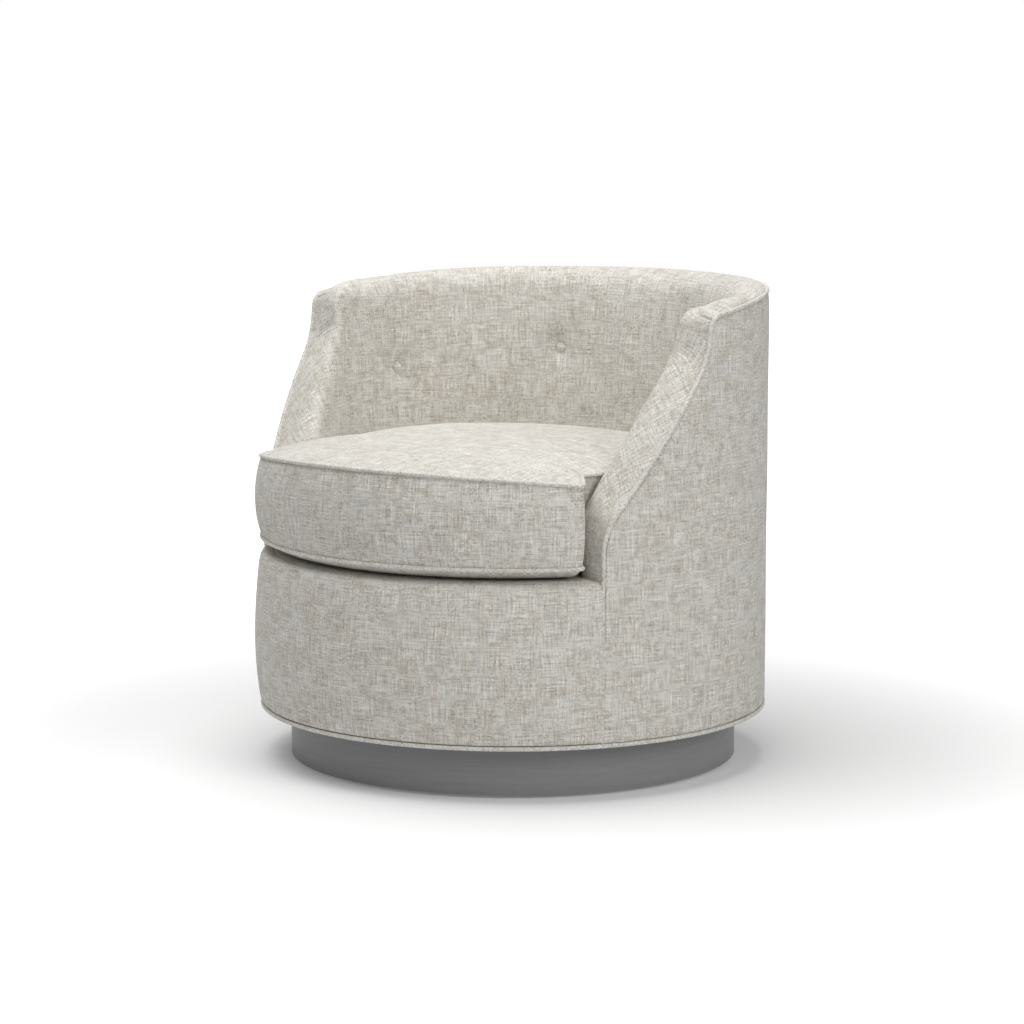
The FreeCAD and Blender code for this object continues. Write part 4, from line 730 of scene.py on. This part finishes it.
HELD_AT_SEAM = 6
HELD_AT_FOOT = 3
HELD_AT_CORNER = 0.03
HELD_AT_BUTTON = 0.016
flat_points = padding.reshape(-1, 3)
row_of = np.tile(np.arange(row_count), station_count)
held = (row_of <= HELD_AT_SEAM) | (row_of >= row_count - HELD_AT_FOOT)
corner_away = np.abs(np.concatenate([seam_runs[:-1], seam_runs[::-1]]) - corner_run)
held |= (np.repeat(corner_away, row_count) < HELD_AT_CORNER) & (row_of < ROLL_STEPS)
button_points = []
for button_angle, button_height in zip(BUTTON_ANGLES, BUTTON_HEIGHTS):
    seat = float(wall_radius(np.array(button_angle), np.array(button_height)))
    button_points.append(at_angle(button_angle, seat, button_height))
    held |= np.linalg.norm(flat_points - button_points[-1], axis=1) < HELD_AT_BUTTON
swell(inside_back, np.nonzero(held)[0], 2.0, 0.0025)

inside_back.data.materials.append(linen_cloth)
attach(inside_back, "seat")
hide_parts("inside_back")


# Four buttons, each a steel shell covered in the same cloth, are drawn into the padding by twine.
# The cloth is gathered under the shell, so fine pleats show round its rim.

button_profile = [(0.0003, 0.0066), (0.0030, 0.0063), (0.0054, 0.0054), (0.0072, 0.0038), (0.0082, 0.0018),
                  (0.0084, 0.0003), (0.0079, -0.0012), (0.0060, -0.0020)]
BUTTON_PROUD = 0.0012
for number, (button_angle, middle) in enumerate(zip(BUTTON_ANGLES, button_points), start=1):
    outward = -at_angle(button_angle, 1.0, 0.0)
    level = np.array([math.cos(button_angle), math.sin(button_angle), 0.0])
    spins = np.linspace(0, 2 * math.pi, 49)
    pleat = 1 + 0.012 * np.cos(spins * 12)[None, :]
    out = np.array([radius for radius, _ in button_profile])[:, None] * pleat
    up = np.array([height for _, height in button_profile])[:, None] * np.ones_like(pleat) + BUTTON_PROUD
    shell = (middle + level * (out * np.cos(spins))[..., None] + np.array([0, 0, 1.0])
             * (out * np.sin(spins))[..., None] + outward * up[..., None])
    cloth_places = np.stack([out * np.cos(spins), out * np.sin(spins)], -1) + number
    button = tidy_mesh(grid_piece(f"button_{number}", shell, cloth_places))
    button.data.materials.append(linen_cloth)
    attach(button, "seat")
    if number == 1:
        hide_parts("buttons")


# The outside back is one wide panel round the sides and the back, from the front seams to the rim.
# It is stretched smooth over lining board, and turned in along all of its edges.

SEAM_GAP = 0.0006
EDGE_BACK = 0.0032
COVER_BOTTOM = 0.0888
CLOTH_THICKNESS = 0.0015


def on_slope(height):
    """One on the slope of the arm fronts, and nothing below it or on the rim."""
    return np.clip((0.71 - height) / 0.08, 0, 1) * np.clip((height - 0.36) / 0.05, 0, 1)


def runs_past_corner(start, near, counts):
    """Lengths along the seam from a start to the middle of the back, set closer near the rim's corner."""
    stops = (start, corner_run - near, corner_run + near, fine_run[-1])
    first, second, third = (np.linspace(*ends) for ends in zip(stops[:-1], stops[1:], counts))
    return np.concatenate([first, second[1:], third[1:]])


side_runs = runs_past_corner(bottom_run + 0.036, 0.02, (90, 30, 120))
edge = on_seam(side_runs)
edge = edge - proud_of(side_runs) * EDGE_BACK / [BODY, 1]
first_angle = front_angle + SEAM_GAP / BODY
edge[:, 0] = np.maximum.accumulate(np.clip(edge[:, 0], first_angle, math.pi))
edge = edge[max(0, np.nonzero(edge[:, 0] > first_angle)[0][0] - 1):]
close = first_angle + np.array([0.0, 0.0006, 0.0014, 0.0026, 0.0042, 0.0062]) / BODY
edge = np.vstack([np.stack([close, np.interp(close, edge[:, 0], edge[:, 1])], -1),
                  edge[edge[:, 0] > close[-1] + 0.002 / BODY]])
slope = on_slope(edge[:, 1])
side_in = 0.0016 * np.exp(-(edge[:, 0] - first_angle) * BODY / 0.0012)
rows = np.concatenate([[0, 0, 0.004, 0.012], np.linspace(0.03, 0.97, 36), [0.984, 0.994, 1, 1]])
inward = np.concatenate([[0.008, 0.0035, 0.0012, 0.0002], np.zeros(36), [0.0003, 0.0012, 0.0030, 0.008]])
panel_heights = COVER_BOTTOM + (edge[:, 1:] - COVER_BOTTOM) * rows[None, :]
below_edge = edge[:, 1:] - panel_heights
drawn = 0.0022 * slope[:, None] * np.exp(-(below_edge / 0.035) ** 2)
panel_angles = edge[:, :1] * np.ones_like(panel_heights)
ripple = 0.0005 * np.sin(panel_angles * 9 + panel_heights * 11) * np.sin(panel_heights * 17 + panel_angles * 4)
panel_radii = BODY - inward[None, :] - side_in[:, None] - drawn + ripple
half_panel = at_angle(panel_angles, panel_radii, panel_heights)
half_places = np.stack([panel_angles * BODY, panel_heights], -1) + [2.0, 0]
panel, panel_places = whole_round(half_panel, half_places, 2 * math.pi * BODY + 4.0)
outside_back = grid_piece("outside_back_panel", panel, panel_places, CLOTH_THICKNESS)
outside_back.data.materials.append(linen_cloth)
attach(outside_back, "seat")
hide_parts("outside_back")


# The front border is padded with a layer of foam over the hoops and swells between its seams.
# Its top edge rolls over the seat rail to the deck, and both ends are sewn to the outside back.

border_end = front_angle - SEAM_GAP / BODY
border_angles = border_end * np.concatenate([[-1, -0.996, -0.988], np.linspace(-0.97, 0.97, 81),
                                             [0.988, 0.996, 1]])
swells = 1 - np.abs(border_angles / border_end) ** 10
border_rows = [(0.0100, 0.0000, 0.0), (0.0040, 0.0000, 0.0), (0.0012, 0.0020, 0.05), (0.0000, 0.0080, 0.16),
               (0.0, 0.0220, 0.38), (0.0, 0.0420, 0.64), (0.0, 0.0650, 0.86), (0.0, 0.0900, 0.98),
               (0.0, 0.1150, 1.0), (0.0, 0.1400, 0.92), (0.0, 0.1640, 0.76), (0.0, 0.1860, 0.56),
               (0.0, 0.2040, 0.36), (0.0, 0.2180, 0.18), (0.0004, 0.2260, 0.06), (0.0020, 0.2320, 0.0),
               (0.0050, 0.2370, 0.0), (0.0090, 0.2398, 0.0), (0.0140, 0.2408, 0.0), (0.0190, 0.2402, 0.0),
               (0.0225, 0.2385, 0.0), (0.0230, 0.2330, 0.0)]
BORDER_SWELL = 0.0095
drawn_in, up, share = (np.array(column)[None, :] for column in zip(*border_rows))
radii = BODY - drawn_in + BORDER_SWELL * share * swells[:, None]
ends = np.concatenate([[0.0030, 0.0010, 0.0003], np.zeros(81), [0.0003, 0.0010, 0.0030]])
radii = radii - ends[:, None]
heights = COVER_BOTTOM + up * np.ones_like(radii)
front = at_angle(border_angles[:, None], radii, heights)
rows_up = np.linalg.norm(np.diff(front, axis=1), axis=2)
run_up = np.concatenate([np.zeros((len(border_angles), 1)), np.cumsum(rows_up, axis=1)], 1)
front_places = np.stack([border_angles[:, None] * BODY * np.ones_like(run_up), run_up + 5.0], -1)
front_border = grid_piece("front_border_padding", front, front_places)
smooth = front_border.modifiers.new("rounding", "SUBSURF")
smooth.levels = smooth.render_levels = 1
front_border.data.materials.append(linen_cloth)
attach(front_border, "seat")
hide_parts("front_border")


# Piping is the same cloth, cut on the bias round a cotton cord and sewn into the seams; its colour is painted a
# little lighter than the cloth elsewhere, as painted light.
# One length runs up an arm, round the rim and down the other arm, sunk in at both ends; another closes
# the lower edge.

PIPE = 0.0034
SEAM_RADIUS = 0.3968
ARM_CORD_SUNK = 0.0020
LOW_CORD_SUNK = 0.0017


def piping(name, line, radius=PIPE, closed=False, sides=14):
    """A round cord of cloth along a line, a little lumpy, with its cloth laid along it."""
    line = np.asarray(line, float)
    if closed:
        line = np.vstack([line, line[:1]])
        ahead = np.vstack([line[1:], line[1:2]]) - np.vstack([line[-2:-1], line[:-1]])
    else:
        ahead = np.gradient(line, axis=0)
    ahead = ahead / np.linalg.norm(ahead, axis=1, keepdims=True)
    side = np.cross(ahead[0], [0.0, 0.0, 1.0])
    if np.linalg.norm(side) < 0.1:
        side = np.cross(ahead[0], [1.0, 0.0, 0.0])
    sides_of = []
    for way in ahead:
        side = side - way * (side @ way)
        side = side / np.linalg.norm(side)
        sides_of.append(side)
    side = np.array(sides_of)
    over = np.cross(ahead, side)
    spins = np.linspace(0, 2 * math.pi, sides + 1)
    gone = length_along(line)
    lumps = radius * (1 + 0.012 * np.sin(gone * 310) * np.sin(gone * 97))
    tube = (line[:, None] + lumps[:, None, None] * (side[:, None] * np.cos(spins)[None, :, None]
                                                    + over[:, None] * np.sin(spins)[None, :, None]))
    cloth_places = np.stack(np.broadcast_arrays(gone[:, None], spins[None, :] * radius), -1)
    piece = tidy_mesh(grid_piece(name, tube, cloth_places))
    piece.data.materials.append(linen_bias_painted_lighter)
    return piece


cord_runs = runs_past_corner(0.0, 0.015, (160, 24, 170))
cord_line = on_seam(cord_runs)
cord_low = np.clip((0.34 - cord_line[:, 1]) / 0.04, 0, 1)
cord_radius = SEAM_RADIUS - ARM_CORD_SUNK * on_slope(cord_line[:, 1]) - LOW_CORD_SUNK * cord_low
right_side = at_angle(cord_line[:, 0], cord_radius, cord_line[:, 1])
left_side = right_side[:-1][::-1] * [-1, 1, 1]
rim_piping = piping("rim_piping_cord", np.vstack([right_side, left_side]))
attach(rim_piping, "seat")
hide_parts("rim_piping")

LOW_PIPING = 0.0850
lower_piping = piping("lower_piping_cord", at_angle(np.linspace(0, 2 * math.pi, 361)[:-1], SEAM_RADIUS,
                                                    LOW_PIPING), closed=True)
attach(lower_piping, "seat")
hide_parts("lower_piping")


# The loose seat cushion is T-shaped, a foam core in a fibre wrap inside a sewn cover.
# Its crown and boxing swell between the piped seams, and its ears stand ahead of the arm fronts.

FRONT_SEAM = 0.3937
CORNER_TURN = math.radians(53.3)
LOW_SEAM = 0.351
CROWN = 0.512


FRONT_POINTS = 110
TIP_POINTS = 10
EAR_POINTS = 16


def corner_curve(start, middle, end, count):
    """A quick bend from a start to an end round a corner that it doesn't reach."""
    shares = np.linspace(0, 1, count)[:, None]
    return start * (1 - shares) ** 2 + 2 * middle * shares * (1 - shares) + end * shares ** 2


def cushion_outline(ear_turn, ear_reach, height, room):
    """Plan of one seam, right half: the front arc, the ear's tip, its back edge and the side to the back middle."""
    tip = at_angle(CORNER_TURN, FRONT_SEAM, 0.0)[:2]
    inner = at_angle(ear_turn, ear_reach, 0.0)[:2]
    back_way = (inner - tip) / np.linalg.norm(inner - tip)
    front_stop = CORNER_TURN - 0.009 / FRONT_SEAM
    front = at_angle(np.linspace(0, front_stop, FRONT_POINTS), FRONT_SEAM, 0.0)[:, :2]
    side_turns = np.linspace(ear_turn + math.radians(1.6), math.pi, 150)
    settled = wall_radius(np.maximum(side_turns, math.radians(68)), height) - room
    past_ear = eased((side_turns - ear_turn) / math.radians(11))
    side = at_angle(side_turns, ear_reach + (settled - ear_reach) * past_ear, 0.0)[:, :2]
    ear_start = tip + back_way * 0.008
    ear_stop = inner - back_way * 0.007
    return np.vstack([front, corner_curve(front[-1], tip, ear_start, TIP_POINTS)[1:],
                      np.linspace(ear_start, ear_stop, EAR_POINTS)[1:],
                      corner_curve(ear_stop, inner, side[0], 8)[1:], side[1:]])


def both_halves(half):
    """A line on the right, carried on round the left to where it began."""
    return np.vstack([half, half[:-1][::-1] * ([-1, 1] + [1] * (half.shape[1] - 2))])


def mirrored(mask):
    """A mask along the right half of a line, carried on round the left."""
    return np.concatenate([mask, mask[:-1][::-1]])


UPPER_SEAM = 0.473
FRONT_RISE = 0.018
EAR_RISE = 0.007
upper_half = cushion_outline(ear_turn=math.radians(56.2), ear_reach=0.3255, height=0.478, room=0.0072)
lower_half = cushion_outline(ear_turn=math.radians(55.3), ear_reach=0.3120, height=0.352, room=0.0080)
half_turn = np.arctan2(upper_half[:, 0], -upper_half[:, 1])
steps = np.arange(len(upper_half))
ear_first = FRONT_POINTS
ear_last = FRONT_POINTS + TIP_POINTS - 1 + EAR_POINTS - 1
seam_rise = np.where(half_turn < CORNER_TURN, FRONT_RISE * (1 - (half_turn / CORNER_TURN) ** 2), 0.0)
seam_rise[ear_first:] = 0.0
past = np.clip((steps - ear_first) / (ear_last - ear_first), 0, 1)
upper_heights = UPPER_SEAM + seam_rise + EAR_RISE * past
upper_line = both_halves(np.column_stack([upper_half, upper_heights]))
lower_line = both_halves(np.column_stack([lower_half, np.full(len(lower_half), LOW_SEAM)]))
front_share = mirrored(np.clip((ear_first + 4 - steps) / 6, 0, 1))
on_ear = mirrored(np.exp(-((steps - (ear_first + ear_last) / 2) / 7.0) ** 2))
near_tip = mirrored(np.exp(-((steps - ear_first - 6) / 7.0) ** 2))


def outward_of(line):
    """Level directions out of a closed outline."""
    closed = np.vstack([line[-2:-1], line, line[1:2]])[:, :2]
    along = closed[2:] - closed[:-2]
    out = np.column_stack([along[:, 1], -along[:, 0]])
    return out / np.linalg.norm(out, axis=1, keepdims=True)


middle_line = (upper_line + lower_line) / 2
outward = outward_of(middle_line)
radial = middle_line[:, :2] / np.linalg.norm(middle_line[:, :2], axis=1, keepdims=True)
outward = outward * (1 - front_share[:, None]) + radial * front_share[:, None]
sideways = np.column_stack([-radial[:, 1], radial[:, 0]]) * np.where(middle_line[:, :1] < 0, -1.0, 1.0)
round_run = length_along(middle_line[:, :2])
centre = np.array([0.0, -0.055])

under_rows = [(0.0, 0.0), (0.04, 0.0), (0.1, 0.0), (0.2, 0.0), (0.3, 0.0), (0.42, 0.0), (0.54, 0.0),
              (0.65, 0.0), (0.74, 0.01), (0.81, 0.03), (0.865, 0.08), (0.905, 0.17), (0.935, 0.30), (0.958, 0.46),
              (0.975, 0.63), (0.988, 0.80), (0.996, 0.92)]
box_rows = [(0.0, 0.0), (0.02, 0.17), (0.06, 0.38), (0.115, 0.56), (0.18, 0.73), (0.25, 0.86), (0.33, 0.95),
            (0.42, 1.0), (0.51, 1.0), (0.60, 0.98), (0.69, 0.90), (0.77, 0.78), (0.84, 0.63), (0.90, 0.48),
            (0.95, 0.31), (0.982, 0.15), (1.0, 0.0)]
crown_shares = [0.996, 0.988, 0.976, 0.96, 0.94, 0.915, 0.885, 0.85, 0.81, 0.76, 0.70, 0.63, 0.56, 0.48, 0.40,
                0.32, 0.24, 0.16, 0.09, 0.04, 0.0]
BOX_SWELL = 0.0122
TIP_SWELL = 0.0065
EAR_DRAWN = 0.0035
SIDE_SWELL = 0.0012
cushion_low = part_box("cushion_cover")[0].z
rings = []
for share, rise in under_rows:
    flat = centre + (lower_line[:, :2] - centre) * share
    rings.append(np.column_stack([flat, cushion_low + (lower_line[:, 2] - cushion_low) * rise]))
for rise, out in box_rows:
    flat = lower_line[:, :2] + (upper_line - lower_line)[:, :2] * rise
    swelling = BOX_SWELL * front_share - EAR_DRAWN * on_ear + SIDE_SWELL * (1 - front_share) * (1 - on_ear)
    flat = flat + outward * (swelling * out)[:, None] + sideways * (TIP_SWELL * near_tip * out)[:, None]
    rings.append(np.column_stack([flat, lower_line[:, 2] + (upper_line - lower_line)[:, 2] * rise]))
for share in crown_shares:
    flat = centre + (upper_line[:, :2] - centre) * share
    away = np.linalg.norm(upper_line[:, :2] - flat, axis=1)
    swell_up = 0.26 * (1 - np.exp(-away / 0.016)) + 0.74 * (1 - share ** 2.6)
    soft = 0.0008 * np.sin(flat[:, 0] * 21 + 1.0) * np.sin(flat[:, 1] * 17 + flat[:, 0] * 6) * (1 - share ** 4)
    rings.append(np.column_stack([flat, upper_line[:, 2] + (CROWN - upper_line[:, 2]) * swell_up + soft]))
rings = np.array(rings)
cushion = grid_piece("seat_cushion", rings)
low_row = len(under_rows)
high_row = low_row + len(box_rows) - 1
columns = rings.shape[1]
row_of = np.repeat(np.arange(len(rings) - 1), columns - 1)
loops = np.zeros(len(cushion.data.loops), int)
cushion.data.loops.foreach_get("vertex_index", loops)
loop_column = loops % columns
boxed = np.repeat((row_of >= low_row) & (row_of < high_row), 4)
flat_rings = rings.reshape(-1, 3)
cloth_uv = np.where(boxed[:, None], np.column_stack([round_run[loop_column], flat_rings[loops, 2] + 3.0]),
                    flat_rings[loops, :2] + 9.0)
cushion.data.uv_layers.new(name="cloth").data.foreach_set("uv", cloth_uv.ravel())
tidy_mesh(cushion)


def nearest_on(line, points):
    """For each point, the nearest point of a line: its number and how far it is."""
    tree_of = kdtree.KDTree(len(line))
    for index, place_on in enumerate(line):
        tree_of.insert(place_on, index)
    tree_of.balance()
    found = [tree_of.find(point) for point in points]
    return np.array([item[1] for item in found]), np.array([item[2] for item in found])


points = points_of(cushion)
PUCKER_STEP = 0.019
PUCKER_DEPTH = 0.00035
near_upper, to_upper = nearest_on(upper_line, points)
near_lower, to_lower = nearest_on(lower_line, points)
turn_of = np.arctan2(np.abs(points[:, 0]), -points[:, 1])
beside = (turn_of > math.radians(57)) & (points[:, 2] < 0.47) & (points[:, 2] > LOW_SEAM)
held = (to_upper < 0.006) | (to_lower < 0.006) | (points[:, 2] < 0.336) | beside
swell(cushion, np.nonzero(held)[0], 2.5, 0.004)
points = points_of(cushion)
normals = points_of(cushion, "normal")
for near, away in ((near_upper, to_upper), (near_lower, to_lower)):
    puckers = np.sin(round_run[near] * 2 * math.pi / PUCKER_STEP + 2.2 * np.sin(round_run[near] * 31))
    depth = PUCKER_DEPTH * np.exp(-((away - 0.010) / 0.008) ** 2) * puckers
    points = points + normals * depth[:, None]
points[:, 2] = np.maximum(points[:, 2], cushion_low)
cushion.data.vertices.foreach_set("co", points.ravel())
cushion.data.update()
cushion.data.materials.append(linen_cloth)
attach(cushion, "cushion")
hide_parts("cushion_cover")

CORD_OUT = 0.0026
CORD_STEP = 0.0035
CORD_RADIUS = 0.0031
for name, line, node in (("cushion_upper_cord", upper_line, "cushion_upper_piping"),
                         ("cushion_lower_cord", lower_line, "cushion_lower_piping")):
    shifted = line[:-1] + np.column_stack([outward_of(line)[:-1] * CORD_OUT, np.zeros(len(line) - 1)])
    shifted = at_lengths(shifted, np.arange(0, length_along(shifted)[-1], CORD_STEP))
    cord = piping(name, shifted, radius=CORD_RADIUS, closed=True)
    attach(cord, "cushion")
    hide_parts(node)


# A coil zip closes the cover in the middle of the back boxing, so that the core comes out for washing.
# Its coil and slider are grey nylon and zinc, on two woven tapes that are sewn in flat.

ZIP_HEIGHT = 0.414
ZIP_REACH = 0.29
ZIP_PROUD = 0.0022
zip_turns = np.linspace(math.radians(148), math.radians(212), 90)
line_turn = np.arctan2(middle_line[:, 0], -middle_line[:, 1]) % (2 * math.pi)
order = np.argsort(line_turn)
zip_reach = np.interp(zip_turns, line_turn[order], np.linalg.norm(middle_line[:, :2], axis=1)[order]) + ZIP_PROUD
tape_rows = [(-0.0120, 0.0000), (-0.0118, 0.0006), (-0.0025, 0.0007), (-0.0020, 0.0014), (-0.0008, 0.0019),
             (0.0, 0.0015), (0.0008, 0.0019), (0.0020, 0.0014), (0.0025, 0.0007), (0.0118, 0.0006), (0.0120, 0.0000)]
tape = np.array([at_angle(zip_turns, zip_reach + out, ZIP_HEIGHT + up) for up, out in tape_rows])
tape_places = np.array([np.column_stack([zip_turns * ZIP_REACH, np.full(90, up)]) for up, _ in tape_rows])
zip_tape = grid_piece("cushion_zip", tape, tape_places)
zip_tape.data.flip_normals()
coil, tree, shader = new_finish("grey_zip", Roughness=0.6)
teeth = put(tree, "ShaderNodeTexWave", {"Vector": cloth_place(tree), "Scale": 220.0, "Distortion": 0.2},
            bands_direction="X")
two_tone(tree, shader, teeth.outputs["Fac"], (0.32, 0.31, 0.29), (0.5, 0.49, 0.46))
relief(tree, shader, teeth.outputs["Fac"], 0.0006)
zip_tape.data.materials.append(coil)
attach(zip_tape, "cushion")

slider_turn = math.radians(150)
slider_form = [(-0.0045, -0.003), (0.0045, -0.004), (0.0045, 0.004), (-0.0045, 0.003)]
slider_points = []
slider_parts = [(0.0012, 0.0042, 1.0, 0.0), (0.0042, 0.0050, 0.5, 0.0), (0.0042, 0.0054, 0.8, 0.011)]
for low, high, shrink, shift in slider_parts:
    for out in (low, high):
        for across, up in slider_form:
            turn_by = slider_turn + (across * shrink * 1.2 + shift) / ZIP_REACH
            slider_points.append(at_angle(turn_by, zip_reach[0] + out, ZIP_HEIGHT + up * shrink))
zip_slider = block_piece("zip_slider", slider_points)


def ease_edges(piece, width, segments):
    """Rounds the edges of a piece."""
    ease = piece.modifiers.new("eased_edges", "BEVEL")
    ease.width = width
    ease.segments = segments


ease_edges(zip_slider, 0.0005, 2)
zip_slider.data.materials.append(bpy.data.materials["zinc_plate"])
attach(zip_slider, "cushion")


# The cushion's core is cream foam, cut to the cushion's outline, with open cells and eased edges.
# It fills the cover and isn't seen unless the zip at the back is open.

core = set_up("foam_core", nodes["cushion_core"].data.copy())
work = bmesh.new()
work.from_mesh(core.data)
bmesh.ops.remove_doubles(work, verts=work.verts, dist=1e-5)
bmesh.ops.dissolve_limit(work, angle_limit=math.radians(1), verts=work.verts, edges=work.edges)
work.to_mesh(core.data)
work.free()
ease_edges(core, 0.004, 3)
foam, tree, shader = new_finish("cream_foam", Roughness=0.95)
cells = put(tree, "ShaderNodeTexVoronoi", {"Vector": own_place(tree), "Scale": 700.0})
two_tone(tree, shader, cells.outputs["Distance"], (0.72, 0.66, 0.46), (0.82, 0.78, 0.6))
relief(tree, shader, cells.outputs["Distance"], 0.0008)
core.data.materials.clear()
core.data.materials.append(foam)
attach(core, "cushion")
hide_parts("cushion_core")


# The stage is a plain white floor, with soft light from above, from the front and from the right.
# The camera stands where the photograph was taken, far off with a long lens.

floor = grid_piece("floor", [[(-9, -9, 0), (-9, 9, 0)], [(9, -9, 0), (9, 9, 0)]])
floor_finish, tree, shader = new_finish("white_floor", Roughness=0.9)
shader.inputs["Base Color"].default_value = (0.8, 0.8, 0.8, 1)


def seen_directly(tree):
    """One for rays that see a thing straight, or by a mirror or through glass, and nothing for the rest."""
    rays = put(tree, "ShaderNodeLightPath").outputs
    straight = maths(tree, "MAXIMUM", rays["Is Camera Ray"], rays["Is Glossy Ray"])
    return maths(tree, "MAXIMUM", straight, rays["Is Transmission Ray"])


NEAR_GLOW = 0.15
SKY_LEVEL = 0.16
from_axis = put(tree, "ShaderNodeVectorMath", {0: own_place(tree)}, operation="LENGTH").outputs["Value"]
level = put(tree, "ShaderNodeMapRange", {"Value": from_axis, "From Min": 0.6, "From Max": 2.0,
                                         "To Min": NEAR_GLOW, "To Max": 1.0}, interpolation_type="SMOOTHSTEP")
shader.inputs["Emission Color"].default_value = (1, 1, 1, 1)
tree.links.new(maths(tree, "MULTIPLY", seen_directly(tree), level.outputs[0]), shader.inputs["Emission Strength"])
floor.data.materials.append(floor_finish)

world = bpy.data.worlds.new("studio")
bpy.context.scene.world = world
world.use_nodes = True
tree = world.node_tree
sky = tree.nodes["Background"]
strength = put(tree, "ShaderNodeMapRange", {"Value": seen_directly(tree), "To Min": SKY_LEVEL, "To Max": 1.0})
sky.inputs["Color"].default_value = (1, 1, 1, 1)
tree.links.new(strength.outputs[0], sky.inputs["Strength"])


def soft_light(name, place, aim, across, power):
    """A round lamp that points at a place, with its width in metres and its power in watts."""
    lamp = bpy.data.lights.new(name, "AREA")
    lamp.shape = "DISK"
    lamp.size = across
    lamp.energy = power
    stand = set_up(name, lamp)
    stand.location = place
    stand.rotation_euler = (Vector(aim) - Vector(place)).to_track_quat("-Z", "Y").to_euler()


soft_light("overhead_light", (-0.4, -0.4, 3.4), (0, 0, 0.3), 3.2, 102)
soft_light("front_light", (2.4, -4.2, 2.6), (0, 0, 0.4), 2.6, 26)
soft_light("right_light", (3.8, -0.6, 2.2), (0, 0, 0.4), 2.4, 56)

view = bpy.data.cameras.new("photograph_view")
view.lens = 113.15
view.sensor_width = 36.0
view.shift_x = -0.0008
view.clip_end = 60.0
camera = set_up("photograph_view", view)
camera.location = (3.1288, -3.9492, 1.0774)
camera.rotation_euler = (math.radians(90 - 7.85), 0, math.radians(38.39))
bpy.context.scene.camera = camera
bpy.context.scene.view_settings.view_transform = "Standard"
